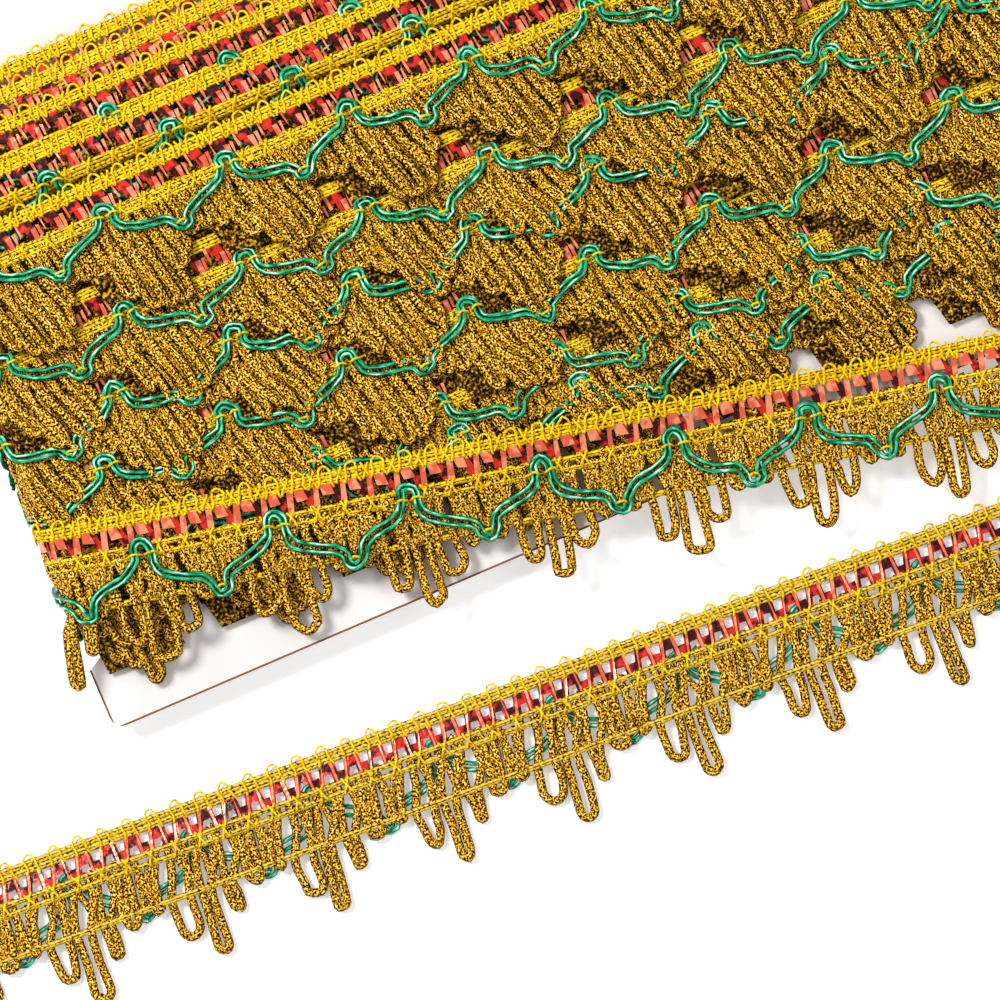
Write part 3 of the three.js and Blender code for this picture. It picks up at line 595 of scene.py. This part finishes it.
def add_leaf_loops(batch, stretch, loops, steps, sides, lean=0.0, sway=0.0, heap=0.0, inner=None):
    """The gold cord of the leaf bunches. By chance each loop is wider, longer and leans further
    than the next, and each bunch sways as one. A heap is a bell curve across the bunch times a
    half sine down it. An inner cord runs between the two legs of each loop, half way."""
    tucked = stretch.get("tucked", TUCKED_FACE)
    placed = repeats_of(loop_rows(loops, lean, tucked), stretch["knots"], UNEVEN_LOOPS)
    shape = (*placed.shape[:2], 1)
    widen = random.normal(0, LOOP_WIDENS, shape)
    longer = random.normal(0, LOOP_LENGTHENS + sway, shape)
    leaning = random.normal(0, LOOP_LEANS, shape)
    leaning = leaning + random.normal(0, sway / 10, (len(placed), 1, 1))
    below_chain = ease(placed[..., 1], *BELOW_CHAIN)
    tip = placed[..., 8:9, 0]
    placed[..., 0] += (placed[..., 0] - tip) * widen * below_chain
    placed[..., 0] += leaning * np.maximum(placed[..., 1] - LOOPS_START, 0)
    placed[..., 1] += longer * below_chain
    placed[..., 2] += random.normal(0, sway / 4, shape) * below_chain
    across = (placed[..., 0] - HEAP_MIDDLE - lean * (placed[..., 1] - LOOPS_START)) / HEAP_HALF
    down = np.clip((placed[..., 1] - HEAP_TOP) / HEAP_DEPTH, 0, 1)
    crest = np.exp(-across**2) * np.sin(np.pi * down)
    placed[..., 2] += heap * (crest - HEAP_SUNK * ease(placed[..., 1], *HEAP_SINKS))
    paths = set_on(stretch, spline(placed, steps))
    batch.add_tubes(stretch["lay"], paths, CORD_RADIUS, sides, CORD_SQUASH)
    if inner is not None:
        middle = (placed[..., 3:8, :] + placed[..., 13:8:-1, :]) / 2
        middle[..., 2] -= INNER_SUNK
        inner.add_tubes(stretch["lay"], set_on(stretch, middle), INNER_RADIUS, 5, CORD_SQUASH)


def add_green_cord(batch, stretch, height, steps, sides, depth=1.0):
    """The green double cord: two strands side by side on one smooth path, to either side of it by
    half their pitch and, on the way down, by a little more. Depth is the share kept of the way
    from arch to valley."""
    arch = min(GREEN_BELOW)
    below = arch + (np.array(GREEN_BELOW) - arch) * depth
    rows = np.stack([GREEN_ALONG, below, np.full(len(GREEN_ALONG), height)], axis=-1)
    placed = repeats_of(rows[None], stretch["knots"], UNEVEN_GREEN)
    placed[:, :, [0, -1]] = rows[[0, -1]]
    placed = placed[:, :, stretch.get("green_from", 0):]
    path = spline(placed, steps)
    direction = np.gradient(path[..., :2], axis=-2)
    direction /= np.linalg.norm(direction, axis=-1, keepdims=True)
    across = np.stack([-direction[..., 1], direction[..., 0]], axis=-1)
    parting = 1 - np.abs(np.linspace(-1, 1, path.shape[-2])) ** 3
    wide = random.uniform(0.0, STRAND_PARTS, (*path.shape[:2], 1)) * parting
    wide = wide * ease(path[..., 1], 12, 15)
    for hand in (-1, 1):
        strand = path.copy()
        strand[..., :2] += hand * (STRAND_APART + wide)[..., None] * across
        batch.add_tubes(stretch["lay"], set_on(stretch, strand), STRAND_RADIUS, sides)


def add_picots(batch, stretch, height, outward, sides):
    """Picots: each yarn rises over the header's edge as a small arch and crosses the header.
    Outward is 1 where the face shows and -1 where the wrong side does."""
    rows = []
    for picot in stretch.get("units", range(PICOTS)):
        middle = (picot - (PICOTS - 1) / 2) * TURN_PITCH / PICOTS
        rows.append([(middle + u, v, height + outward * w) for u, v, w in PICOT])
    add_cords(batch, stretch, rows, UNEVEN_PICOTS, 2, YARN_RADIUS, sides)


def add_crossings(batch, stretch, top, height, outward, sides):
    """Pairs of yarns that cross over a braided strip, one pair between each two picots: a yarn
    and its mirror image."""
    rows = []
    for picot in stretch.get("units", range(PICOTS)):
        middle = (picot - PICOTS / 2) * TURN_PITCH / PICOTS
        for hand in (1, -1):
            rows.append([(middle + hand * u, top + v, height + outward * w) for u, v, w in CROSSING])
    add_cords(batch, stretch, rows, UNEVEN_YARNS, 2, YARN_RADIUS, sides)


def chain_relief(along, below, rows, stitch, half):
    """Height of chain stitches: each row's stitches are slanted both ways from its middle line,
    and are as high as the sine of their place."""
    relief = np.zeros((len(along), len(below)))
    for row in rows:
        across = (below - row) / half
        inside = np.cos(np.clip(across, -1, 1) * np.pi / 2)
        slant = (along[:, None] - np.abs(across) * half * 0.7) / stitch
        relief = np.maximum(relief, inside * (0.55 + 0.45 * np.abs(np.sin(np.pi * slant))))
    return relief


def add_braid(batch, stretch, span, strip, face):
    """A braided strip over a span of the stretch: the visible side is a grid of steps along and
    columns across with the relief of chain stitches, and the other is flat."""
    start, end = span
    step, low, high, columns, rows, stitch, half = strip
    along = np.arange(start, end, step)
    below = np.linspace(low, high, columns)
    relief = chain_relief(along, below, rows, stitch, half)
    foot, rise, flat = BRAID_FACE if face else BRAID_REVERSE
    batch.add_strip(stretch["lay"], along, below, foot + rise * relief, flat, face)


def foil_corners(stretch, plates):
    """Corners (repeats x units x plates, 4, 2) of foil plates: a row gives the top and foot
    below the picot tips, then left and right at the top and left and right at the foot."""
    unit = TURN_PITCH / PICOTS
    rows = []
    for number in stretch.get("units", range(PICOTS)):
        middle = (number - (PICOTS - 1) / 2) * unit
        for top, foot, left, right, foot_left, foot_right, _ in plates:
            rows.append([(middle + right, top, 0), (middle + left, top, 0),
                         (middle + foot_left, foot, 0), (middle + foot_right, foot, 0)])
    placed = set_on(stretch, repeats_of(rows, stretch["knots"], UNEVEN_YARNS))
    return placed[..., :2].reshape(-1, 4, 2)


def add_foil(light, dark, stretch, pattern):
    """The red foil ladder: plates of two tones, painted highlight and painted shade of the one
    foil, each at its own height over the wrong side.
    """
    for batch, plates in ((light, pattern["light"]), (dark, pattern["dark"])):
        corners = foil_corners(stretch, plates)
        level = np.tile([plate[-1] for plate in plates], len(corners) // len(plates))[:, None]
        batch.add_blocks(stretch["lay"], corners, level, level + FOIL_THICK)


def add_ties(batch, stretch, height, sides, depth=1.0):
    """Thin tie stitches over the green cord's legs, at the band and at the valley: small arcs,
    highest in the middle."""
    rows = []
    arch = min(GREEN_BELOW)
    for middle, below in GREEN_TIES:
        below = arch + (below - arch) * depth
        rows.append([(middle + u, below + v, height + w) for u, v, w in TIE])
    add_cords(batch, stretch, rows, UNEVEN_YARNS, 2, YARN_RADIUS, sides)


def material(name, roughness, specular=0.5, metallic=0.0):
    """A plain principled material with its node tree, ready for the pattern."""
    finish = bpy.data.materials.new(name)
    finish.use_nodes = True
    shader = finish.node_tree.nodes["Principled BSDF"]
    shader.inputs["Roughness"].default_value = roughness
    shader.inputs["Specular IOR Level"].default_value = specular
    shader.inputs["Metallic"].default_value = metallic
    return finish, finish.node_tree, shader


def place_node(tree, kind, **inputs):
    """A new node of the kind, with each named socket at its value."""
    node = tree.nodes.new(kind)
    for socket, value in inputs.items():
        node.inputs[socket].default_value = value
    return node


def ramp_node(tree, factor, stops):
    """A colour ramp over the factor, from stops of place and colour."""
    node = tree.nodes.new("ShaderNodeValToRGB")
    elements = node.color_ramp.elements
    while len(elements) < len(stops):
        elements.new(0.5)
    for element, (place, colour) in zip(elements, stops):
        element.position = place
        element.color = (*colour, 1)
    tree.links.new(factor, node.inputs["Fac"])
    return node.outputs["Color"]


def object_noise(tree, scale, detail):
    """Noise on Object coordinates: scale is in cells to the metre."""
    place = tree.nodes.new("ShaderNodeTexCoord")
    noise = place_node(tree, "ShaderNodeTexNoise", Scale=scale, Detail=detail)
    tree.links.new(place.outputs["Object"], noise.inputs["Vector"])
    return noise.outputs["Fac"]


def add_bump(tree, shader, height, strength, distance):
    """Bump: the shader's normal leans against the slope of the height."""
    bump = place_node(tree, "ShaderNodeBump", Strength=strength, Distance=distance)
    tree.links.new(height, bump.inputs["Height"])
    tree.links.new(bump.outputs["Normal"], shader.inputs["Normal"])


def gold_finish():
    """Gold cord: film and yellow yarn wound together. Specks of brown, orange and yellow lie a few
    tenths of a millimetre apart, with pale specks as painted highlights on the film, and the
    cord's sides are browner, as painted shade."""
    finish, tree, shader = material("gold cord", 0.4, specular=0.06)
    tone = cord_tone_and_painted_light(tree, 2.0, 14.0, 0.09)
    # The last, pale stop is a painted highlight: glints of the film.
    colour = ramp_node(tree, tone, [
        (0.54, (0.0005, 0.0001, 0.0)), (0.565, (0.08, 0.016, 0.0)), (0.592, (0.48, 0.17, 0.0)),
        (0.618, (1.0, 0.46, 0.0)), (0.67, (1.0, 0.62, 0.001)), (0.75, (1.0, 0.95, 0.45)),
    ])
    tree.links.new(colour, shader.inputs["Base Color"])
    add_bump(tree, shader, tone, 0.5, 0.0003)
    return finish


def core_painted_shade_finish():
    """The cord packed under the turns, coloured dark as painted shade."""
    finish, tree, shader = material("packed cord", 0.6, specular=0.1)
    specks = object_noise(tree, 1500, 3.0)
    colour = ramp_node(tree, specks, [
        (0.44, (0.004, 0.001, 0.0)), (0.51, (0.07, 0.022, 0.001)), (0.58, (0.35, 0.16, 0.003)),
        (0.66, (0.8, 0.5, 0.02)),
    ])
    tree.links.new(colour, shader.inputs["Base Color"])
    add_bump(tree, shader, object_noise(tree, 900, 2.0), 0.8, 0.0008)
    return finish


def yarn_finish():
    """Yellow rayon yarn: bright, with ochre between its fibres."""
    finish, tree, shader = material("yellow yarn", 0.45, specular=0.1)
    fibres = object_noise(tree, 1700, 3.0)
    colour = ramp_node(tree, fibres, [
        (0.32, (0.30, 0.14, 0.0)), (0.43, (0.90, 0.50, 0.0)), (0.53, (1.0, 0.68, 0.0)),
        (0.68, (1.0, 0.80, 0.03)),
    ])
    tree.links.new(colour, shader.inputs["Base Color"])
    add_bump(tree, shader, fibres, 0.4, 0.0003)
    return finish


def maths(tree, operation, first, second=0.0):
    """One arithmetic step on sockets or numbers."""
    node = tree.nodes.new("ShaderNodeMath")
    node.operation = operation
    for place, value in enumerate((first, second)):
        if hasattr(value, "node"):
            tree.links.new(value, node.inputs[place])
        else:
            node.inputs[place].default_value = value
    return node.outputs["Value"]


def braid_finish():
    """Braided yellow yarn, on the strip's own map in millimetres: rows a course apart, with
    stitches slanted both ways, painted shade in the gaps between them, and uneven from fibre to
    fibre.
    The wrong side, mapped a hundred courses on, is duller."""
    finish, tree, shader = material("yellow braid", 0.45, specular=0.1)
    place = tree.nodes.new("ShaderNodeTexCoord")
    split = tree.nodes.new("ShaderNodeSeparateXYZ")
    tree.links.new(place.outputs["UV"], split.inputs["Vector"])
    along, below = split.outputs["X"], split.outputs["Y"]
    cell = maths(tree, "FRACT", maths(tree, "DIVIDE", below, COURSE))
    off_middle = maths(tree, "ABSOLUTE", maths(tree, "SUBTRACT", cell, 0.5))
    from_middle = maths(tree, "MULTIPLY", off_middle, 2.0)
    chain = maths(tree, "PINGPONG", below, COURSE)
    slant = maths(tree, "ADD", along, maths(tree, "MULTIPLY", chain, 0.9))
    phase = maths(tree, "MULTIPLY", slant, np.pi / STITCH)
    wave = maths(tree, "ABSOLUTE", maths(tree, "SINE", phase))
    crown = maths(tree, "SUBTRACT", 1.0, maths(tree, "POWER", from_middle, 2.2))
    stitched = maths(tree, "ADD", maths(tree, "MULTIPLY", wave, 0.6), 0.4)
    height = maths(tree, "MULTIPLY", crown, stitched)
    uneven = maths(tree, "SUBTRACT", object_noise(tree, 1500, 3.0), 0.5)
    tone = maths(tree, "ADD", height, maths(tree, "MULTIPLY", uneven, 2.6))
    # The darkest stops fall at course edges and stitch gaps: painted shade.
    colour = ramp_node(tree, tone, [
        (0.05, (0.01, 0.003, 0.0)), (0.23, (0.26, 0.12, 0.0)), (0.46, (0.86, 0.48, 0.0)),
        (0.70, (1.0, 0.63, 0.0)), (0.98, (1.0, 0.80, 0.04)),
    ])
    wrong = maths(tree, "GREATER_THAN", below, WRONG_SIDE / 2)
    dull = place_node(tree, "ShaderNodeHueSaturation", Saturation=0.95, Value=0.84)
    tree.links.new(colour, dull.inputs["Color"])
    tree.links.new(wrong, dull.inputs["Fac"])
    tree.links.new(dull.outputs["Color"], shader.inputs["Base Color"])
    add_bump(tree, shader, height, 0.6, 0.0004)
    return finish


def foil_finish(name, dark, light):
    """Red foil: two tones blended by noise along the plate, a painted reflection that stands for the
    film's tilt.
    """
    finish, tree, shader = material(name, 0.22, specular=0.4, metallic=0.3)
    # Dark and light are the foil's painted shade and painted highlight tones.
    colour = ramp_node(tree, object_noise(tree, 420, 1.0), [(0.45, dark), (0.55, light)])
    tree.links.new(colour, shader.inputs["Base Color"])
    add_bump(tree, shader, object_noise(tree, 700, 1.0), 0.35, 0.0004)
    return finish


def cord_tone_and_painted_light(tree, along, around, painted_light_share):
    """Tone for a cord on its own map: noise in cells of the given sizes (to the millimetre along
    it and to the turn round it), plus a share of painted light that is most on its crown and
    foot, so that its sides come out in painted shade."""
    place = tree.nodes.new("ShaderNodeTexCoord")
    mapping = place_node(tree, "ShaderNodeMapping", Scale=(along, around, 1.0))
    noise = place_node(tree, "ShaderNodeTexNoise", Scale=1.0, Detail=3.0)
    tree.links.new(place.outputs["UV"], mapping.inputs["Vector"])
    tree.links.new(mapping.outputs["Vector"], noise.inputs["Vector"])
    split = tree.nodes.new("ShaderNodeSeparateXYZ")
    tree.links.new(place.outputs["UV"], split.inputs["Vector"])
    turn = maths(tree, "MULTIPLY", split.outputs["Y"], 2 * np.pi)
    # Painted light on crown and foot, painted shade at the sides.
    crown = maths(tree, "ABSOLUTE", maths(tree, "SINE", turn))
    return maths(tree, "ADD", noise.outputs["Fac"], maths(tree, "MULTIPLY", crown, painted_light_share))


def green_finish():
    """Green satin cord: painted shade at its sides, with a painted highlight, a bright glint, along
    its crown.
    """
    finish, tree, shader = material("green cord", 0.3, specular=0.3)
    tone = cord_tone_and_painted_light(tree, 0.35, 5.0, 0.32)
    # The near-white top stop is the painted highlight; the darkest stops are painted shade at the
    # sides.
    colour = ramp_node(tree, tone, [
        (0.55, (0.0, 0.012, 0.004)), (0.67, (0.0, 0.10, 0.035)), (0.77, (0.0, 0.32, 0.13)),
        (0.86, (0.02, 0.60, 0.31)), (0.94, (0.62, 1.0, 0.80)),
    ])
    tree.links.new(colour, shader.inputs["Base Color"])
    add_bump(tree, shader, tone, 0.4, 0.0003)
    return finish


def blend_node(tree, factor, first, second):
    """Mix by the factor: 0 is the plain colour, 1 the colour socket."""
    blend = tree.nodes.new("ShaderNodeMix")
    blend.data_type = "RGBA"
    sockets = {socket.identifier: socket for socket in blend.inputs}
    tree.links.new(factor, sockets["Factor_Float"])
    sockets["A_Color"].default_value = (*first, 1)
    tree.links.new(second, sockets["B_Color"])
    return next(socket for socket in blend.outputs if socket.identifier == "Result_Color")


def card_finish():
    """White board, a little uneven, brown on its cut edges (where the normal is level) and in a
    thin line beside the lower and the left one (where the smaller distance in is under CARD_RIM)."""
    finish, tree, shader = material("card", 0.62, specular=0.3)
    geometry = tree.nodes.new("ShaderNodeNewGeometry")
    split = tree.nodes.new("ShaderNodeSeparateXYZ")
    tree.links.new(geometry.outputs["Normal"], split.inputs["Vector"])
    upright = maths(tree, "ABSOLUTE", split.outputs["Z"])
    faces = ramp_node(tree, object_noise(tree, 60, 4.0), [
        (0.3, (0.76, 0.71, 0.68)), (0.7, (0.84, 0.80, 0.78)),
    ])
    place = tree.nodes.new("ShaderNodeTexCoord")
    where = tree.nodes.new("ShaderNodeSeparateXYZ")
    tree.links.new(place.outputs["Object"], where.inputs["Vector"])
    from_foot = maths(tree, "SUBTRACT", where.outputs["Y"], float(CARD_LOW[1]))
    from_left = maths(tree, "SUBTRACT", where.outputs["X"], float(CARD_LOW[0]))
    inside = maths(tree, "MINIMUM", from_foot, from_left)
    inside = maths(tree, "GREATER_THAN", inside, CARD_RIM * MM)
    cut = blend_node(tree, upright, CARD_BROWN, faces)
    tree.links.new(blend_node(tree, inside, CARD_BROWN, cut), shader.inputs["Base Color"])
    add_bump(tree, shader, object_noise(tree, 900, 2.0), 0.15, 0.0002)
    return finish


def add_core(batch):
    """Packed cord inside the turns: rings round the card (an oval of the side's reach, as high
    as the crest less the turns' own depth) carried from the lower edge to the upper."""
    y = CORE_Y[:, None]
    crest = CARD_TOP + np.interp(y, CREST_Y, CREST_HEIGHT) - CORE_BELOW_CREST
    drop = CARD_MIDDLE - BACK_LEVEL - CORE_INSIDE_BACK
    height = np.where(np.cos(CORE_TURN) > 0, crest - CARD_MIDDLE, drop) * np.cos(CORE_TURN)
    level = CARD_MIDDLE + height
    out = CORE_OUT * np.sin(CORE_TURN)
    front = np.stack(np.broadcast_arrays(CORE_X, y, crest), axis=-1)
    right = np.stack(np.broadcast_arrays(CORE_X[-1] + out, y, level), axis=-1)
    left = np.stack(np.broadcast_arrays(CORE_X[0] - out, y, level), axis=-1)
    back = front[:, ::-1].copy()
    back[..., 2] = CARD_MIDDLE - drop
    rings = np.concatenate([front, right, back, left[:, ::-1]], axis=1)
    batch.add_rings(rings[None], CORE_Y, np.linspace(0, 1, rings.shape[1] + 1))


def add_backing(batch, stretch):
    """Cord packed under each bunch of a row: thin plates in a leaning grid, so that the next row
    shows beside the bunch and not through it."""
    cells = []
    for u in np.arange(*BACKED_ALONG, BACKED_CELL):
        for v in np.arange(*BACKED_BELOW, BACKED_CELL):
            top, foot = v, v + BACKED_CELL
            at_top, at_foot = PRESSED_LEAN * (top - LEAN_FROM), PRESSED_LEAN * (foot - LEAN_FROM)
            cells.append([(u + BACKED_CELL + at_top, top, 0), (u + at_top, top, 0),
                          (u + at_foot, foot, 0), (u + BACKED_CELL + at_foot, foot, 0)])
    placed = set_on(stretch, repeats_of(cells, stretch["knots"], 0))
    batch.add_blocks(stretch["lay"], placed[..., :2].reshape(-1, 4, 2), *BACKED_LEVELS)


def laid_stretches():
    """The last turn and the loose end, each as how and on which knots it is laid, and the span
    of its braids along it. They meet half a repeat past the last knot before the fold."""
    start, middle, end = (float(along_at(knot)) for knot in (TRIM_STARTS, LAST_KNOT + 0.5, TRIM_ENDS))
    last = dict(lay=lay_last, at=along_at, knots=np.arange(0, LAST_KNOT + 1.0))
    loose_knots = np.arange(LAST_KNOT + 1, LAST_KNOT + LOOSE_KNOTS + 2.0)
    loose = dict(lay=lay_last, at=along_at, knots=loose_knots, tucked=TUCKED_REVERSE)
    return last, (start, middle), loose, (middle, end)


def add_laid(laid, stretch, span, face):
    """The yarns of a laid stretch, with the face up or with the wrong side up. The wrong side
    shows fewer mesh cords and no crossings on the header."""
    outward = 1 if face else -1
    level = YARNS_FACE if face else YARNS_REVERSE
    add_leaf_loops(laid["lace"], stretch, FACE_LOOPS if face else LOOSE_LOOPS, 2, 7)
    add_mesh(laid["lace"], stretch, DIAGONALS + FILLING if face else DIAGONALS[::2], 2, 7)
    add_green_cord(laid["green_cord"], stretch, GREEN_FACE if face else GREEN_REVERSE, 2, 6)
    add_picots(laid["picots"], stretch, level, outward, 5)
    if face:
        add_crossings(laid["picots"], stretch, HEADER_CROSSED, level, outward, 5)
    add_crossings(laid["picots"], stretch, BAND_CROSSED, level, outward, 5)
    add_ties(laid["picots"], stretch, TIES_FACE if face else TIES_REVERSE, 4)
    add_foil(laid["light_foil"], laid["dark_foil"], stretch, LAST_FOIL if face else LOOSE_FOIL)
    for strip in (HEADER, BAND_TOP, BAND_FOOT):
        add_braid(laid["braid"], stretch, span, strip, face)
    add_braid(laid["chain"], stretch, span, CHAIN, face)


def add_left_edge(laid, last):
    """What the last turn has round the left edge, one repeat before its first knot: the end of a
    green scallop, two picots and two leaf loops that hang free."""
    hanging = dict(last, knots=np.array([-1.0]), units=(3, 4), green_from=GREEN_AT_EDGE)
    add_green_cord(laid["green_cord"], hanging, GREEN_FACE, 2, 6)
    add_picots(laid["picots"], hanging, YARNS_FACE, 1, 5)
    add_foil(laid["light_foil"], laid["dark_foil"], hanging, LAST_FOIL)
    add_leaf_loops(laid["lace"], hanging, EDGE_LOOPS, 2, 7)
    add_mesh(laid["lace"], hanging, DIAGONALS[-2:], 2, 7)


def turn_stretches(number):
    """The stretches of a wound turn on the front and on the back: its knots are a pitch apart,
    and their distance along the turn says which of the two they belong to."""
    place = dict(lay=turn_lay(number), at=lambda repeats: repeats * TURN_PITCH)
    knots = (TURNS[number]["knot"] - WAIST + KNOTS_TRIED * TURN_PITCH) / TURN_PITCH
    along = knots * TURN_PITCH
    on_front = (along > -PAST_EDGE) & (along < FRONT_RUN + PAST_EDGE)
    on_back = (along >= FRONT_RUN + PAST_EDGE) & (along < AROUND - SHORT_OF_EDGE)
    return dict(place, knots=knots[on_front]), dict(place, knots=knots[on_back])


def add_front_turn(front, packed, inner, number, shown):
    """The yarns of a wound turn on the front. The top row and those below it show their pressed
    bunches; it and those above it show their header's picots."""
    span = -SIDE_RUN / 2, FRONT_RUN + SIDE_RUN / 2
    if number >= TOP_TURN:
        add_leaf_loops(front["lace"], shown, PRESSED_LOOPS, 2, 5, PRESSED_LEAN, PRESSED_SWAY,
                       HEAP_HEIGHT, inner)
        add_mesh(front["lace"], shown, DIAGONALS[::2], 2, 5)
        add_backing(packed, shown)
    if number >= GREEN_FROM_TURN:
        add_green_cord(front["green_cord"], shown, GREEN_ROW, 2, 5, PRESSED_DEPTH)
        add_ties(front["picots"], shown, TIES_ROW, 4, PRESSED_DEPTH)
    if number <= TOP_TURN:
        add_picots(front["picots"], shown, YARNS_FACE, 1, 4)
        add_crossings(front["picots"], shown, HEADER_CROSSED, YARNS_FACE, 1, 4)
    if GREEN_FROM_TURN < number <= TOP_TURN:
        add_crossings(front["picots"], shown, BAND_CROSSED, YARNS_FACE, 1, 4)
    plated = shown if number <= TOP_TURN else dict(shown, units=SHOWN_PICOTS)
    add_foil(front["light_foil"], front["dark_foil"], plated, ROW_FOIL)
    add_braid(front["braid"], shown, span, ROW_HEADER, True)
    add_braid(front["braid"], shown, span, ROW_BAND, True)


def add_back_turn(back, hidden):
    """The yarns of a wound turn on the back, in few faces."""
    span = FRONT_RUN + SIDE_RUN / 2, AROUND
    add_leaf_loops(back["lace"], hidden, FACE_LOOPS, 1, 4, BACK_LEAN)
    add_mesh(back["lace"], hidden, DIAGONALS[::3], 1, 4)
    add_green_cord(back["green_cord"], hidden, GREEN_BACK, 1, 4, PRESSED_DEPTH)
    add_foil(back["light_foil"], back["dark_foil"], hidden, LAST_FOIL)
    add_braid(back["braid"], hidden, span, BACK_HEADER, True)
    add_braid(back["braid"], hidden, span, BACK_BAND, True)


def yarn_finishes():
    """The finish of each yarn. Header, bands and chain are the same braided yarn."""
    braid = braid_finish()
    finishes = dict(lace=gold_finish(), braid=braid, picots=yarn_finish(), chain=braid)
    # The light foil is the red foil with a painted highlight, the dark foil the same foil in painted
    # shade.
    finishes["light_foil"] = foil_finish("red foil painted highlight", (0.80, 0.13, 0.06), (1.0, 0.33, 0.17))
    finishes["dark_foil"] = foil_finish("red foil painted shade", (0.05, 0.0, 0.0), (0.70, 0.025, 0.012))
    finishes["green_cord"] = green_finish()
    return finishes


def solids_for(side, yarn):
    """The solids that a piece replaces: the laid yarns stand for the strips of the last turn and
    of the loose end, and the leaf loops of the front for the wound form."""
    if side == "laid":
        parts = STOOD_FOR.get(yarn, [])
        return [f"{stretch}_{part}" for stretch in ("last_turn", "loose_end") for part in parts]
    return ["wound_trim"] if (side, yarn) == ("front", "lace") else []


def build_trim():
    """All yarns of the trim, collected by side and yarn and stored as one piece each. Gives back
    the laid pieces by yarn."""
    sides = {side: {yarn: Batch() for yarn in SLOTS} for side in ("laid", "front", "back")}
    packed, inner = Batch(), Batch()
    add_core(packed)
    last, last_span, loose, loose_span = laid_stretches()
    add_laid(sides["laid"], last, last_span, True)
    add_laid(sides["laid"], loose, loose_span, False)
    add_left_edge(sides["laid"], last)
    for number in range(len(TURNS)):
        shown, hidden = turn_stretches(number)
        add_front_turn(sides["front"], packed, inner, number, shown)
        add_back_turn(sides["back"], hidden)
    finishes = yarn_finishes()
    pieces = {}
    for yarn, slot in SLOTS.items():
        rounded = not yarn.endswith("foil")
        for side, batches in sides.items():
            if batches[yarn].count:
                replaced = solids_for(side, yarn)
                piece = batches[yarn].store(f"{side}_{yarn}", finishes[yarn], slot, replaced, rounded)
                pieces[side, yarn] = piece
    # The packed cord and the plates under the bunches are coloured dark as painted shade.
    packed.store("wound_core", core_painted_shade_finish(), "gold_cord")
    inner.store("front_inner_lace", finishes["lace"], "gold_cord")
    return {yarn: piece for (side, yarn), piece in pieces.items() if side == "laid"}


def add_camera():
    """Camera straight over the card, turned as in the photograph, far enough to look flat. Its
    lens is as much longer than the sensor is wide as the distance is more than the seen width."""
    data = bpy.data.cameras.new("camera")
    data.sensor_width = SENSOR_WIDTH
    data.lens = SENSOR_WIDTH * CAMERA_DISTANCE / SEEN_WIDTH
    camera = bpy.data.objects.new("camera", data)
    camera.location = (CAMERA_X, CAMERA_Y, CAMERA_DISTANCE + CARD_TOP * MM)
    camera.rotation_euler = (0, 0, np.radians(CAMERA_TURN))
    bpy.context.scene.collection.objects.link(camera)
    bpy.context.scene.camera = camera


def add_light(name, place, size, power):
    """A square soft light that faces the middle of the trim: it is tipped by the angle whose
    cosine is its height over its distance, and turned towards its place in the plan."""
    data = bpy.data.lights.new(name, "AREA")
    data.shape = "SQUARE"
    data.size = size
    data.energy = power
    lamp = bpy.data.objects.new(name, data)
    lamp.location = place
    away = np.array(place) / np.linalg.norm(place)
    lamp.rotation_euler = (np.arccos(away[2]), 0, np.arctan2(away[0], -away[1]))
    bpy.context.scene.collection.objects.link(lamp)


def add_floor():
    """Pale floor, a flat square with a faint glow, so that it is as white as in the photograph."""
    mesh = bpy.data.meshes.new("floor")
    corners = [(-1, -1, 0), (1, -1, 0), (1, 1, 0), (-1, 1, 0)]
    mesh.from_pydata((np.array(corners) * FLOOR_HALF).tolist(), [], [(0, 1, 2, 3)])
    finish, tree, shader = material("floor", 0.8)
    pale = [(0.3, (0.90, 0.90, 0.90)), (0.7, (0.93, 0.93, 0.93))]
    colour = ramp_node(tree, object_noise(tree, 3, 1.0), pale)
    tree.links.new(colour, shader.inputs["Base Color"])
    shader.inputs["Emission Color"].default_value = (1, 1, 1, 1)
    shader.inputs["Emission Strength"].default_value = FLOOR_GLOW
    mesh.materials.append(finish)
    floor = bpy.data.objects.new("floor", mesh)
    bpy.context.scene.collection.objects.link(floor)


def add_studio():
    """An even white surround, two soft lights and the floor."""
    scene = bpy.context.scene
    scene.view_settings.view_transform = "Standard"
    world = bpy.data.worlds.new("surround")
    world.use_nodes = True
    background = world.node_tree.nodes["Background"]
    background.inputs["Color"].default_value = (1, 1, 1, 1)
    background.inputs["Strength"].default_value = SURROUND
    scene.world = world
    add_light("main light", **MAIN_LIGHT)
    add_light("side light", **SIDE_LIGHT)
    add_floor()


add_camera()
trim = build_trim()
card = bpy.data.objects["card"]
card.material_slots[0].material = card_finish()
add_studio()
